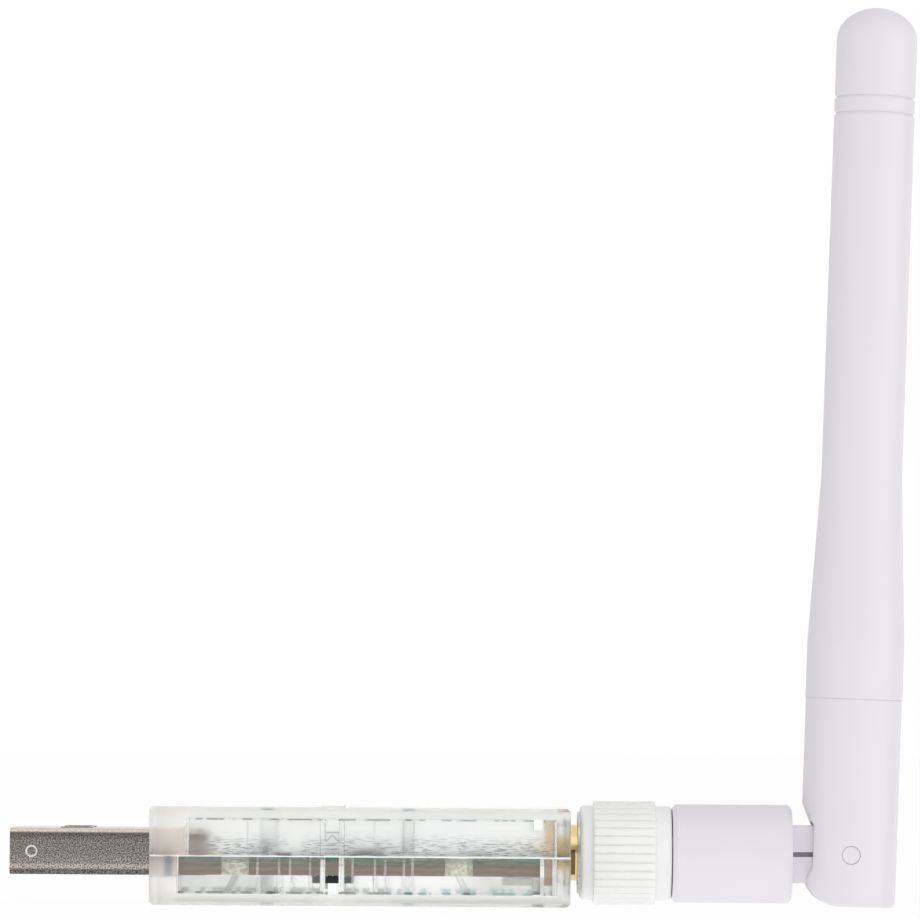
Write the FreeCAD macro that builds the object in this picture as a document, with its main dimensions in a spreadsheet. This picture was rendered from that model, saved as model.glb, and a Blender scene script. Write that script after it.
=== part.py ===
# USB radio stick: clear two-part case, steel USB-A plug, circuit board, gold coaxial jack
# and a white rod antenna with a coupling nut, a swivel barrel and a tilting mast.
# Millimetres. The origin is the plug's axis at the case's front face.
# +X runs from the plug to the antenna, +Z is up, and Y goes across.
import FreeCAD, Part
import math
import os
import re
import Sketcher

SIZES = [
    # Case halves, moulded in clear polycarbonate
    ("case_length", 40.75),
    ("case_width", 18.0),
    ("half_height", 4.75),
    ("parting_drop", 0.3),
    ("side_wall", 1.1),
    ("floor_wall", 1.1),
    ("front_wall", 2.6),
    ("front_ledge", 0.9),
    ("end_wall", 1.3),
    ("case_corner", 0.9),
    ("case_edge", 0.3),
    ("seam_bevel", 0.12),
    ("cavity_corner", 0.5),
    ("grip_first", 13.1),
    ("grip_pitch", 3.1),
    ("grip_radius", 0.72),
    ("grip_reach", 3.7),
    ("grip_depth", 0.35),
    ("latch_place", 17.7),
    ("latch_gap", 1.3),
    ("guide_width", 0.5),
    ("guide_rise", 0.4),
    ("head_width", 1.45),
    ("head_height", 1.65),
    ("head_foot", 2.35),
    ("head_depth", 0.4),
    ("lug_radius", 0.95),
    ("lug_foot", 0.15),
    ("lug_peak", 2.1),
    ("top_rib_width", 2.2),
    ("top_rib_rise", 0.15),
    ("column_front", 11.4),
    ("column_rear", 25.0),
    ("column_width", 1.2),
    ("column_inset", 0.35),
    ("leg_thick", 0.6),
    ("leg_lean", 1.7),
    ("leg_depth", 0.7),
    ("flange_rib", 1.0),
    ("flange_grip", 1.0),
    # Circuit board
    ("board_drop", 0.24),
    ("board_thick", 1.6),
    ("board_gap", 0.5),
    ("board_front_gap", 0.1),
    ("notch_front", 8.3),
    ("notch_rear", 29.95),
    ("notch_length", 2.7),
    ("notch_depth", 0.9),
    ("chip_bevel", 0.08),
    # USB-A plug
    ("usb_reach", 13.6),
    ("usb_tail", 5.3),
    ("usb_width", 12.0),
    ("usb_height", 4.5),
    ("usb_sheet", 0.3),
    ("usb_corner", 0.5),
    ("usb_play", 0.1),
    ("window_setback", 5.16),
    ("window_length", 2.5),
    ("window_width", 2.25),
    ("window_spread", 5.8),
    ("window_rim", 0.3),
    ("rim_rise", 0.12),
    ("dimple_setback", 2.1),
    ("dimple_radius", 0.5),
    ("dimple_depth", 0.15),
    ("ear_length", 1.4),
    ("ear_reach", 1.0),
    ("tongue_inset", 0.5),
    ("tongue_thick", 1.85),
    ("block_front", 3.2),
    ("contact_width", 1.0),
    ("contact_thick", 0.2),
    ("contact_inset", 1.3),
    ("contact_outer", 3.5),
    ("contact_inner", 1.0),
    ("contact_step", 0.9),
    ("solder_foot", 1.6),
    ("fit_gap", 0.02),
    # Coaxial jack, 1/4 inch thread
    ("axis_rise", 0.635),
    ("flange_size", 6.35),
    ("flange_thick", 1.2),
    ("flange_play", 0.1),
    ("neck_radius", 2.75),
    ("neck_play", 0.15),
    ("neck_out", 1.35),
    ("thread_radius", 3.1),
    ("thread_length", 5.1),
    ("jack_mouth_radius", 2.35),
    ("jack_mouth_depth", 1.9),
    ("core_radius", 2.05),
    ("leg_reach", 4.0),
    ("leg_section", 1.0),
    ("leg_spread", 5.2),
    ("centre_radius", 0.6),
    ("centre_foot", 2.0),
    ("socket_radius", 0.5),
    ("socket_depth", 2.4),
    # Coupling nut
    ("nut_gap", 1.05),
    ("nut_length", 8.9),
    ("shoulder_radius", 4.63),
    ("rear_shoulder_radius", 4.6),
    ("knurl_radius", 5.05),
    ("knurl_groove", 0.18),
    ("knurl_slot", 0.28),
    ("knurl_count", 36),
    ("front_shoulder", 1.3),
    ("rear_shoulder", 1.6),
    ("nut_edge", 0.25),
    ("insert_radius", 4.0),
    ("insert_proud", 0.25),
    ("thread_play", 0.06),
    ("mouth_flare", 0.25),
    # Antenna connector inside the nut
    ("nose_play", 0.05),
    ("seal_thick", 0.6),
    ("collar_radius", 3.1),
    ("collar_length", 1.55),
    ("ring_width", 0.5),
    ("ring_inner", 2.72),
    ("ring_outer", 3.45),
    ("ring_play", 0.06),
    ("shank_radius", 2.55),
    ("shank_length", 6.0),
    ("shank_play", 0.06),
    ("barb_radius", 2.85),
    ("barb_length", 0.6),
    ("pin_radius", 0.45),
    ("pin_reach", 1.7),
    # Swivel barrel with its tongue
    ("barrel_gap", 0.1),
    ("barrel_radius", 4.8),
    ("barrel_length", 11.65),
    ("barrel_edge", 0.35),
    ("hinge_reach", 5.65),
    ("tongue_height", 5.6),
    ("tongue_width", 3.9),
    ("tongue_slit", 0.45),
    ("slit_stop", 2.0),
    ("cable_radius", 0.9),
    ("cable_play", 0.06),
    # Mast
    ("antenna_lean", 1.75),
    ("base_radius", 4.7),
    ("base_foot", 5.0),
    ("base_height", 15.2),
    ("foot_round", 3.4),
    ("relief_flat", 3.6),
    ("relief_low", 1.3),
    ("relief_high", 2.7),
    ("relief_end", 5.0),
    ("relief_toe", 4.2),
    ("relief_toe_low", 2.7),
    ("slot_play", 0.1),
    ("slot_reach", 0.25),
    ("base_edge", 0.3),
    ("hinge_pin_radius", 0.875),
    ("hinge_pin_length", 9.1),
    ("hinge_play", 0.06),
    ("base_bore", 1.3),
    ("spigot_radius", 3.6),
    ("spigot_height", 4.0),
    ("mast_height", 83.2),
    ("sleeve_radius", 4.75),
    ("mast_radius", 3.95),
    ("sleeve_straight", 5.5),
    ("taper_length", 16.3),
    ("dome_crown", 4.6),
    ("dome_shoulder", 2.8),
    ("ring_one", 8.9),
    ("ring_two", 10.5),
    ("ring_groove", 0.21),
    ("ring_groove_width", 0.5),
    ("sleeve_bore", 2.75),
    ("sleeve_cap", 3.0),
    ("dipole_radius", 2.4),
    ("dipole_wall", 0.25),
    ("dipole_length", 27.0),
    ("cable_clear", 0.4),
    ("wire_radius", 0.5),
    ("wire_length", 28.0),
]

# Places worked out from the sizes
BOARD_TOP = "(0-parting_drop-board_drop)"
BOARD_UNDER = "(0-parting_drop-board_drop-board_thick)"
AXIS = "(axis_rise-parting_drop-board_drop)"
BOARD_WIDTH = "(case_width-2*side_wall-2*board_gap)"
INNER_SIDE = "(case_width/2-side_wall)"
HOLLOW = "(half_height-floor_wall)"
FLANGE_FRONT = "(case_length-end_wall)"
FLANGE_BACK = "(case_length-end_wall-flange_thick)"
THREAD_START = "(case_length+neck_out)"
THREAD_END = "(case_length+neck_out+thread_length)"
JACK_FACE = "(case_length+neck_out+thread_length-jack_mouth_depth)"
NUT_FRONT = "(case_length+nut_gap)"
NUT_BACK = "(case_length+nut_gap+nut_length)"
SEAL_FRONT = "(case_length+neck_out+thread_length+nose_play)"
COLLAR_FRONT = "(case_length+neck_out+thread_length+nose_play+seal_thick)"
COLLAR_BACK = "(case_length+neck_out+thread_length+nose_play+seal_thick+collar_length)"
RING_FRONT = "(" + COLLAR_FRONT + "+(collar_length-ring_width)/2)"
RING_BACK = "(" + COLLAR_FRONT + "+(collar_length+ring_width)/2)"
SHANK_BACK = "(" + COLLAR_BACK + "+shank_length)"
BARREL_FRONT = "(case_length+nut_gap+nut_length+barrel_gap)"
BARREL_BACK = "(" + BARREL_FRONT + "+barrel_length)"
HINGE = "(" + BARREL_BACK + "+hinge_reach)"
TONGUE_ROUND = "(tongue_height/2)"
SLOT_ROUND = "(tongue_height/2+slot_reach)"
SPIGOT_TOP = "(base_height+spigot_height)"
DIPOLE_TOP = "(base_height+spigot_height+fit_gap+dipole_length)"
TAPER_START = "(base_height+sleeve_straight)"
TAPER_END = "(base_height+sleeve_straight+taper_length)"
CONTACT_LOW = "(usb_sheet+tongue_thick-usb_height/2-3*contact_thick/4)"

# Parts soldered on the board: name, centre x, centre y, length, width, height, and 1 for its upper face
CHIPS = [
    ("radio_chip", "latch_place+3.4", "0.6", 3.1, 4.0, 0.8, 1),
    ("usb_bridge_chip", "latch_place", "-1.5", 4.0, 4.0, 0.85, -1),
    ("voltage_regulator", "usb_tail+7.6", "-3.6", 1.6, 2.9, 0.55, 1),
    ("bulk_capacitor", "usb_tail+4.75", f"{BOARD_WIDTH}/2-3.0", 0.8, 1.6, 0.95, 1),
    ("crystal", "latch_place+9.2", "-2.6", 3.2, 2.5, 0.6, 1),
    ("rf_filter", f"{FLANGE_BACK}-6.4", "0", 2.0, 1.25, 0.7, 1),
    ("indicator_led", "latch_place", f"{BOARD_WIDTH}/2-1.8", 0.8, 1.6, 0.55, 1),
]
# Centres of the smallest parts, x counted from the latch
CAPACITOR_PLACES = [(-3.1, 2.6), (-3.1, 4.0), (6.7, 3.1), (6.7, 4.4), (0.7, 3.1), (10.9, 1.0), (-7.9, -4.6),
                    (6.2, -1.4)]
RESISTOR_PLACES = [(-1.7, 1.4), (-1.7, -4.2), (1.9, 5.2), (3.9, -4.4), (11.2, 3.6), (-5.1, 1.0)]
CHIP_PART = (1.0, 0.5, 0.45)
RESISTOR_HEIGHT = 0.35

VECTOR = FreeCAD.Vector
UP = VECTOR(0, 0, 1)
ACROSS = VECTOR(0, 1, 0)
ALIASES = {alias for alias, value in SIZES}
pieces = []

doc = FreeCAD.newDocument("radio_stick")
sheet = doc.addObject("Spreadsheet::Sheet", "Sizes")
for row, (alias, value) in enumerate(SIZES, 1):
    sheet.set(f"A{row}", str(value))
    sheet.setAlias(f"A{row}", alias)
doc.recompute()


def link(text):
    """An expression whose size names point into the sheet."""
    return re.sub(r"[a-z_]+", lambda word: "Sizes." + word[0] if word[0] in ALIASES else word[0], str(text))


def number(text):
    return float(sheet.evalExpression(link(text)))


def bind(item, path, text):
    item.setExpression(path, link(text))


def new_piece(label, height="0"):
    """One moulded, turned or stamped piece; height is where its own axis lies."""
    body = doc.addObject("PartDesign::Body", label)
    body.Label = label
    bind(body, "Placement.Base.z", height)
    pieces.append(body)
    return body


def origin_item(body, role):
    return next(item for item in body.Origin.OriginFeatures if item.Role == role)


def sketch_on(body, plane, offset="0"):
    """A sketch on one of the piece's own planes. On XZ_Plane a positive offset lies towards -Y."""
    sketch = body.newObject("Sketcher::SketchObject", body.Name + "_outline")
    sketch.AttachmentSupport = [(origin_item(body, plane), "")]
    sketch.MapMode = "FlatFace"
    bind(sketch, "AttachmentOffset.Base.z", offset)
    return sketch


def constrain(sketch, kind, place, text):
    index = sketch.addConstraint(Sketcher.Constraint(kind, *place, number(text)))
    bind(sketch, f"Constraints[{index}]", text)


def hold(sketch, curve, vertex, x, y):
    constrain(sketch, "DistanceX", (-1, 1, curve, vertex), x)
    constrain(sketch, "DistanceY", (-1, 1, curve, vertex), y)


def circle(sketch, x, y, radius):
    centre = VECTOR(number(x), number(y), 0)
    curve = sketch.addGeometry(Part.Circle(centre, UP, number(radius)), False)
    hold(sketch, curve, 3, x, y)
    constrain(sketch, "Radius", (curve,), radius)


def outline(sketch, corners):
    """A closed outline. A corner is (x, y), or (x, y, centre x, centre y, turn) where an arc leaves it:
    turn is 1 for an arc that runs anticlockwise and -1 for one that runs clockwise."""
    first = sketch.GeometryCount
    count = len(corners)
    flipped = []
    for place, corner in enumerate(corners):
        start = VECTOR(number(corner[0]), number(corner[1]), 0)
        following = corners[(place + 1) % count]
        end = VECTOR(number(following[0]), number(following[1]), 0)
        if len(corner) == 2:
            sketch.addGeometry(Part.LineSegment(start, end), False)
            flipped.append(False)
            continue
        centre = VECTOR(number(corner[2]), number(corner[3]), 0)
        ring = Part.Circle(centre, UP, (start - centre).Length)
        ends = (start, end) if corner[4] > 0 else (end, start)
        angles = [math.atan2(point.y - centre.y, point.x - centre.x) for point in ends]
        sketch.addGeometry(Part.ArcOfCircle(ring, angles[0], angles[1]), False)
        flipped.append(corner[4] < 0)
    for place, corner in enumerate(corners):
        curve = first + place
        beside = first + (place + 1) % count
        last_vertex = 1 if flipped[place] else 2
        first_vertex = 2 if flipped[(place + 1) % count] else 1
        sketch.addConstraint(Sketcher.Constraint("Coincident", curve, last_vertex, beside, first_vertex))
        hold(sketch, curve, 2 if flipped[place] else 1, corner[0], corner[1])
    for place, corner in enumerate(corners):
        if len(corner) == 2:
            continue
        following = corners[(place + 1) % count]
        wide = abs(number(following[0]) - number(corner[0])) > abs(number(following[1]) - number(corner[1]))
        kind, text = ("DistanceY", corner[3]) if wide else ("DistanceX", corner[2])
        constrain(sketch, kind, (-1, 1, first + place, 3), text)


def rectangle(sketch, left, right, low, high):
    outline(sketch, [(left, low), (right, low), (right, high), (left, high)])


def solid_step(kind, body, sketch, length, back=False, both=False, through=False):
    """A pad or a pocket. back turns its direction round, both lays it evenly about the sketch."""
    step = body.newObject("PartDesign::" + kind, body.Name + "_" + kind)
    step.Profile = sketch
    step.Reversed = back
    step.Midplane = both
    if through:
        step.Type = "ThroughAll"
    else:
        bind(step, "Length", length)
    return step


def pad(body, sketch, length, back=False, both=False):
    return solid_step("Pad", body, sketch, length, back, both)


def pocket(body, sketch, length="1", back=False, both=False, through=False):
    return solid_step("Pocket", body, sketch, length, back, both, through)


def turned(body, corners, cut=False, plane="XZ_Plane", axis="H_Axis"):
    """A profile turned about the piece's axis: added, or cut away."""
    sketch = sketch_on(body, plane)
    outline(sketch, corners)
    step = body.newObject("PartDesign::" + ("Groove" if cut else "Revolution"), body.Name + "_turned")
    step.Profile = sketch
    step.ReferenceAxis = (sketch, [axis])
    step.Angle = 360
    return step


def tube_profile(start, end, inner, outer):
    return [(start, inner), (end, inner), (end, outer), (start, outer)]


def edge_step(kind, body, size, wanted):
    """A fillet or chamfer on the edges of the last step for which wanted(edge) is true."""
    doc.recompute()
    tip = body.Tip
    names = [f"Edge{place}" for place, edge in enumerate(tip.Shape.Edges, 1) if wanted(edge)]
    step = body.newObject("PartDesign::" + kind, body.Name + "_" + kind)
    step.Base = (tip, names)
    bind(step, "Radius" if kind == "Fillet" else "Size", size)
    return step


def same(value, text):
    return abs(value - number(text)) < 1e-4


def level(edge, axis):
    """The place of an edge that lies flat across an axis, or None where it doesn't."""
    box = edge.BoundBox
    low, high = getattr(box, axis + "Min"), getattr(box, axis + "Max")
    return (low + high) / 2 if high - low < 1e-5 else None


def at(edge, axis, text):
    place = level(edge, axis)
    return place is not None and same(place, text)


def along(edge, axis):
    box = edge.BoundBox
    spans = {name: getattr(box, name + "Length") for name in "XYZ"}
    return spans[axis] > 1e-4 and all(spans[name] < 1e-4 for name in spans if name != axis)


def mirrored(body, steps, plane="XZ_Plane"):
    step = body.newObject("PartDesign::Mirrored", body.Name + "_mirrored")
    step.Originals = steps
    step.MirrorPlane = (origin_item(body, plane), [""])
    body.Tip = step
    return step


# Case: two clear halves that close on the parting plane, round the plug in front and the jack behind
def case_half(label, side):
    body = new_piece(label)
    upper = side > 0
    sign = "" if upper else "-"
    parting = "0-parting_drop"
    outer = f"({sign}half_height-parting_drop)"
    inner = f"({sign}{HOLLOW}-parting_drop)"

    plan = sketch_on(body, "XY_Plane", parting)
    rectangle(plan, "0", "case_length", "-case_width/2", "case_width/2")
    pad(body, plan, "half_height", back=not upper)
    edge_step("Fillet", body, "case_corner", lambda edge: along(edge, "Z"))
    edge_step("Chamfer", body, "case_edge", lambda edge: at(edge, "Z", outer))
    edge_step("Chamfer", body, "seam_bevel", lambda edge: at(edge, "Z", parting))

    # The upper half's front wall is thicker, where it reaches over the board's arms
    front = "(front_wall+front_ledge)" if upper else "front_wall"
    cavity = sketch_on(body, "XY_Plane", parting)
    rectangle(cavity, front, FLANGE_FRONT, f"-{INNER_SIDE}", INNER_SIDE)
    pocket(body, cavity, HOLLOW, back=upper)
    edge_step("Fillet", body, "cavity_corner", lambda edge: along(edge, "Z"))

    slot = sketch_on(body, "YZ_Plane")
    rectangle(slot, "-usb_width/2-usb_play", "usb_width/2+usb_play", "-usb_height/2-usb_play", "usb_height/2+usb_play")
    pocket(body, slot, front, back=True)

    neck = sketch_on(body, "YZ_Plane", FLANGE_FRONT)
    circle(neck, "0", AXIS, "neck_radius+neck_play")
    pocket(body, neck, "end_wall", back=True)

    # A rib holds the jack's flange against the end wall, and below the board it passes between the jack's legs
    rib = sketch_on(body, "XY_Plane", inner)
    rib_back = f"({FLANGE_BACK}-flange_play)"
    if upper:
        spans = [(f"-{INNER_SIDE}", INNER_SIDE)]
        reach = f"{HOLLOW}-parting_drop-({AXIS}+flange_size/2-flange_grip)"
    else:
        within, beyond = "(leg_spread/2-leg_section/2-flange_play)", "(leg_spread/2+leg_section/2+flange_play)"
        spans = [(f"-{INNER_SIDE}", f"-{beyond}"), (f"-{within}", within), (beyond, INNER_SIDE)]
        reach = f"{HOLLOW}-board_drop-board_thick-flange_play"
    for right, left in spans:
        rectangle(rib, f"{rib_back}-flange_rib", rib_back, right, left)
    pad(body, rib, reach, back=upper)

    # Columns clamp the board between the halves
    columns = sketch_on(body, "XY_Plane", inner)
    far = f"({BOARD_WIDTH}/2-column_inset)"
    for place in ("column_front", "column_rear"):
        for across in ("", "-"):
            rectangle(columns, f"{place}-column_width/2", f"{place}+column_width/2",
                      f"{across}({far}-column_width)", f"{across}{far}")
    reach = f"{HOLLOW}+board_drop" if upper else f"{HOLLOW}-board_drop-board_thick"
    pad(body, columns, reach, back=upper)

    # Grips are long shallow slots in both side walls, round at their far ends
    grips = sketch_on(body, "XZ_Plane", "-case_width/2")
    for place in range(4):
        middle = f"(grip_first+{place}*grip_pitch)"
        tip = f"({sign}(grip_reach-grip_radius)-parting_drop)"
        ends = (f"{middle}-grip_radius", f"{middle}+grip_radius")
        outline(grips, [(ends[0], parting), (ends[0], tip, middle, tip, -side), (ends[1], tip), (ends[1], parting)])
    steps = [pocket(body, grips, "grip_depth", back=True)]

    # Guide ribs stand inside the wall on both sides of the latch
    guides = sketch_on(body, "XY_Plane", inner)
    for near, far in (("-latch_gap/2-guide_width", "-latch_gap/2"), ("+latch_gap/2", "+latch_gap/2+guide_width")):
        rectangle(guides, f"latch_place{near}", f"latch_place{far}", f"{INNER_SIDE}-guide_rise", INNER_SIDE)
    steps.append(pad(body, guides, HOLLOW, back=upper))

    if upper:
        head = sketch_on(body, "XZ_Plane", "-case_width/2")
        rectangle(head, "latch_place-head_width/2", "latch_place+head_width/2",
                  "head_foot-parting_drop", "head_foot+head_height-parting_drop")
        steps.append(pocket(body, head, "head_depth", back=True))
        lug = sketch_on(body, "XZ_Plane", f"-{INNER_SIDE}-fit_gap")
        low = "(lug_foot+lug_radius-parting_drop)"
        outline(lug, [("latch_place-lug_radius", low, "latch_place", low, 1), ("latch_place+lug_radius", low),
                      ("latch_place", "lug_peak-parting_drop")])
        steps.append(pad(body, lug, "guide_rise+fit_gap"))
    else:
        gap = sketch_on(body, "XZ_Plane", "-case_width/2")
        rectangle(gap, "latch_place-latch_gap/2", "latch_place+latch_gap/2", inner, parting)
        steps.append(pocket(body, gap, "side_wall", back=True))
        # Slanting legs rise from the floor through the board's notches
        legs = sketch_on(body, "XZ_Plane", f"-{BOARD_WIDTH}/2+notch_depth-fit_gap")
        leg_top = f"{parting}-seam_bevel"
        for notch, foot, head in (("notch_front", "-", "+"), ("notch_rear", "+", "-")):
            foot = f"{notch}{foot}leg_lean/2"
            head = f"{notch}{head}leg_lean/2"
            outline(legs, [(f"{foot}-leg_thick/2", inner), (f"{foot}+leg_thick/2", inner),
                           (f"{head}+leg_thick/2", leg_top), (f"{head}-leg_thick/2", leg_top)])
        steps.append(pad(body, legs, "leg_depth", back=True))
    mirrored(body, steps)
    if upper:
        band = sketch_on(body, "XY_Plane", outer)
        rectangle(band, "latch_place-top_rib_width/2", "latch_place+top_rib_width/2",
                  "-case_width/2+case_corner", "case_width/2-case_corner")
        pad(body, band, "top_rib_rise")
    return body


case_half("upper_shell", 1)
case_half("lower_shell", -1)


# USB plug: a folded steel shell round a moulded insulator with four contacts
def usb_shell():
    body = new_piece("usb_shell")
    for inset, kind in (("0", "Pad"), ("usb_sheet", "Pocket")):
        section = sketch_on(body, "YZ_Plane", "-usb_reach")
        wide, tall = f"(usb_width/2-{inset})", f"(usb_height/2-{inset})"
        bend = f"(usb_corner-{inset})"
        corners = []
        for y, z in ((1, 1), (-1, 1), (-1, -1), (1, -1)):
            centre = (f"{y}*({wide}-{bend})", f"{z}*({tall}-{bend})")
            on_side = (f"{y}*{wide}", centre[1])
            on_face = (centre[0], f"{z}*{tall}")
            first, last = (on_side, on_face) if y * z > 0 else (on_face, on_side)
            corners += [(*first, *centre, 1), last]
        outline(section, corners)
        solid_step(kind, body, section, "usb_reach+usb_tail", back=kind == "Pocket")
    # Window rims, raised on the upper face
    near = "(window_setback-usb_reach)"
    far = "(window_setback+window_length-usb_reach)"
    rims = sketch_on(body, "XY_Plane", "usb_height/2-usb_sheet/2")
    windows = sketch_on(body, "XY_Plane")
    for across in ("-", "+"):
        low = f"({across}window_spread/2-window_width/2)"
        high = f"({across}window_spread/2+window_width/2)"
        rectangle(rims, f"{near}-window_rim", f"{far}+window_rim", f"{low}-window_rim", f"{high}+window_rim")
        rectangle(windows, near, far, low, high)
    pad(body, rims, "usb_sheet/2+rim_rise")
    pocket(body, windows, "2*usb_height", both=True)
    dimple = sketch_on(body, "XZ_Plane", "-usb_width/2")
    circle(dimple, "dimple_setback-usb_reach", "0", "dimple_radius")
    press = pocket(body, dimple, "dimple_depth", back=True)
    # Ears fold out from the sides and are soldered to the board's arms
    ear = sketch_on(body, "XZ_Plane", "-usb_width/2+usb_sheet/2")
    rectangle(ear, "usb_tail-usb_sheet-ear_length", "usb_tail-usb_sheet", BOARD_TOP, f"{BOARD_TOP}+usb_sheet")
    fold = pad(body, ear, "ear_reach+usb_sheet/2", back=True)
    mirrored(body, [press, fold])
    return body


usb_shell()


def usb_insulator():
    body = new_piece("usb_insulator")
    play = "usb_sheet+fit_gap"
    side = f"(usb_width/2-{play}-usb_corner)"
    low = f"({play}-usb_height/2)"
    block = sketch_on(body, "YZ_Plane", "-block_front")
    rectangle(block, f"-{side}", side, low, f"-{low}")
    pad(body, block, "block_front+usb_tail-usb_sheet")
    tongue = sketch_on(body, "YZ_Plane", "tongue_inset-usb_reach")
    rectangle(tongue, f"-{side}", side, low, f"{low}+tongue_thick")
    pad(body, tongue, "usb_reach-tongue_inset-block_front")
    edge_step("Chamfer", body, "contact_thick",
              lambda edge: at(edge, "X", "tongue_inset-usb_reach") and along(edge, "Y"))
    channels = sketch_on(body, "YZ_Plane", "usb_tail")
    for place in ("contact_outer", "contact_inner"):
        for across in ("", "-"):
            left, right = f"{across}{place}-contact_width/2-fit_gap", f"{across}{place}+contact_width/2+fit_gap"
            rectangle(channels, left, right, f"{CONTACT_LOW}-fit_gap", f"{CONTACT_LOW}+contact_thick+2*fit_gap")
    pocket(body, channels, "usb_tail+usb_reach-contact_inset+contact_thick")
    return body


usb_insulator()


def usb_contact(place, across):
    """A gold strip that lies in the insulator and steps down to its pad on the board."""
    body = new_piece(f"usb_contact_{place}")
    side = sketch_on(body, "XZ_Plane", f"-({across})")
    top = f"{CONTACT_LOW}+contact_thick"
    drop = "usb_tail+contact_step"
    foot = f"{drop}+solder_foot"
    outline(side, [("contact_inset-usb_reach", CONTACT_LOW), (f"{drop}-contact_thick", CONTACT_LOW),
                   (f"{drop}-contact_thick", BOARD_TOP), (foot, BOARD_TOP), (foot, f"{BOARD_TOP}+contact_thick"),
                   (drop, f"{BOARD_TOP}+contact_thick"), (drop, top), ("contact_inset-usb_reach", top)])
    pad(body, side, "contact_width", both=True)
    return body


for place, across in enumerate(("-contact_outer", "-contact_inner", "contact_inner", "contact_outer"), 1):
    usb_contact(place, across)


# Circuit board: notched for the case's legs and cut out in front for the plug
def circuit_board():
    body = new_piece("circuit_board")
    front = "(front_wall+board_front_gap)"
    plan = sketch_on(body, "XY_Plane", BOARD_TOP)
    rectangle(plan, front, FLANGE_BACK, f"-{BOARD_WIDTH}/2", f"{BOARD_WIDTH}/2")
    pad(body, plan, "board_thick", back=True)
    bay = sketch_on(body, "XY_Plane", BOARD_TOP)
    rectangle(bay, front, "usb_tail+usb_play", "-usb_width/2-usb_play", "usb_width/2+usb_play")
    pocket(body, bay, "board_thick")
    notches = sketch_on(body, "XY_Plane", BOARD_TOP)
    for notch in ("notch_front", "notch_rear"):
        rectangle(notches, f"{notch}-notch_length/2", f"{notch}+notch_length/2",
                  f"{BOARD_WIDTH}/2-notch_depth", f"{BOARD_WIDTH}/2")
    mirrored(body, [pocket(body, notches, "board_thick")])
    return body


circuit_board()


def block_on_board(body, centre_x, centre_y, length, width, height, side):
    """A packaged part soldered flat on one face of the board."""
    plan = sketch_on(body, "XY_Plane", BOARD_TOP if side > 0 else BOARD_UNDER)
    rectangle(plan, f"{centre_x}-{length / 2}", f"{centre_x}+{length / 2}",
              f"{centre_y}-{width / 2}", f"{centre_y}+{width / 2}")
    return pad(body, plan, str(height), back=side < 0)


for label, centre_x, centre_y, length, width, height, side in CHIPS:
    body = new_piece(label)
    block_on_board(body, centre_x, centre_y, length, width, height, side)
    edge_step("Chamfer", body, "chip_bevel",
              lambda edge: level(edge, "Z") is not None and not same(level(edge, "Z"), BOARD_TOP)
              and not same(level(edge, "Z"), BOARD_UNDER))


def small_parts(label, places, height):
    """Like parts in one group: each is a solid of its own on the board's upper face."""
    plan = doc.addObject("Part::Compound", label)
    plan.Label = label
    blocks = []
    length, width = CHIP_PART[:2]
    for place, (from_latch, centre_y) in enumerate(places):
        block = doc.addObject("Part::Box", f"{label}_{place}")
        block.Length, block.Width, block.Height = length, width, height
        bind(block, "Placement.Base.x", f"latch_place+{from_latch - length / 2}")
        bind(block, "Placement.Base.y", f"{centre_y - width / 2}")
        bind(block, "Placement.Base.z", BOARD_TOP)
        blocks.append(block)
    plan.Links = blocks
    pieces.append(plan)


small_parts("capacitors", CAPACITOR_PLACES, CHIP_PART[2])
small_parts("resistors", RESISTOR_PLACES, RESISTOR_HEIGHT)


# Coaxial jack: a turned and milled gold body that straddles the board's edge
def jack_body():
    body = new_piece("jack_body", AXIS)
    flange = sketch_on(body, "YZ_Plane", FLANGE_BACK)
    rectangle(flange, "-flange_size/2", "flange_size/2", "-flange_size/2", "flange_size/2")
    pad(body, flange, "flange_thick")
    turned(body, [(FLANGE_FRONT, "0"), (THREAD_END, "0"), (THREAD_END, "thread_radius-mouth_flare"),
                  (f"{THREAD_END}-mouth_flare", "thread_radius"), (THREAD_START, "thread_radius"),
                  (THREAD_START, "neck_radius"), (FLANGE_FRONT, "neck_radius")])
    turned(body, [(JACK_FACE, "0"), (THREAD_END, "0"), (THREAD_END, "jack_mouth_radius"),
                  (JACK_FACE, "jack_mouth_radius")], cut=True)
    turned(body, [(FLANGE_BACK, "0"), (JACK_FACE, "0"), (JACK_FACE, "core_radius"),
                  (FLANGE_BACK, "core_radius")], cut=True)
    legs = sketch_on(body, "YZ_Plane", FLANGE_BACK)
    for across in ("", "-"):
        left = f"({across}leg_spread/2-leg_section/2)"
        right = f"({across}leg_spread/2+leg_section/2)"
        rectangle(legs, left, right, "-axis_rise", "leg_section-axis_rise")
        rectangle(legs, left, right, "-flange_size/2", "-axis_rise-board_thick")
    pad(body, legs, "leg_reach", back=True)
    return body


jack_body()


def turned_piece(label, *profiles):
    """A piece turned on the antenna connector's axis: the first profile is metal, the rest are cut away."""
    body = new_piece(label, AXIS)
    for place, corners in enumerate(profiles):
        turned(body, corners, cut=place > 0)
    return body


turned_piece("jack_dielectric",
             tube_profile(FLANGE_BACK, f"{JACK_FACE}-fit_gap", "centre_radius+fit_gap", "core_radius-fit_gap"))
turned_piece("jack_contact",
             [(f"{FLANGE_BACK}-centre_foot", "0"), (f"{JACK_FACE}-socket_depth", "0"),
              (f"{JACK_FACE}-socket_depth", "socket_radius"), (f"{JACK_FACE}-fit_gap", "socket_radius"),
              (f"{JACK_FACE}-fit_gap", "centre_radius"), (f"{FLANGE_BACK}-centre_foot", "centre_radius")])


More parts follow.
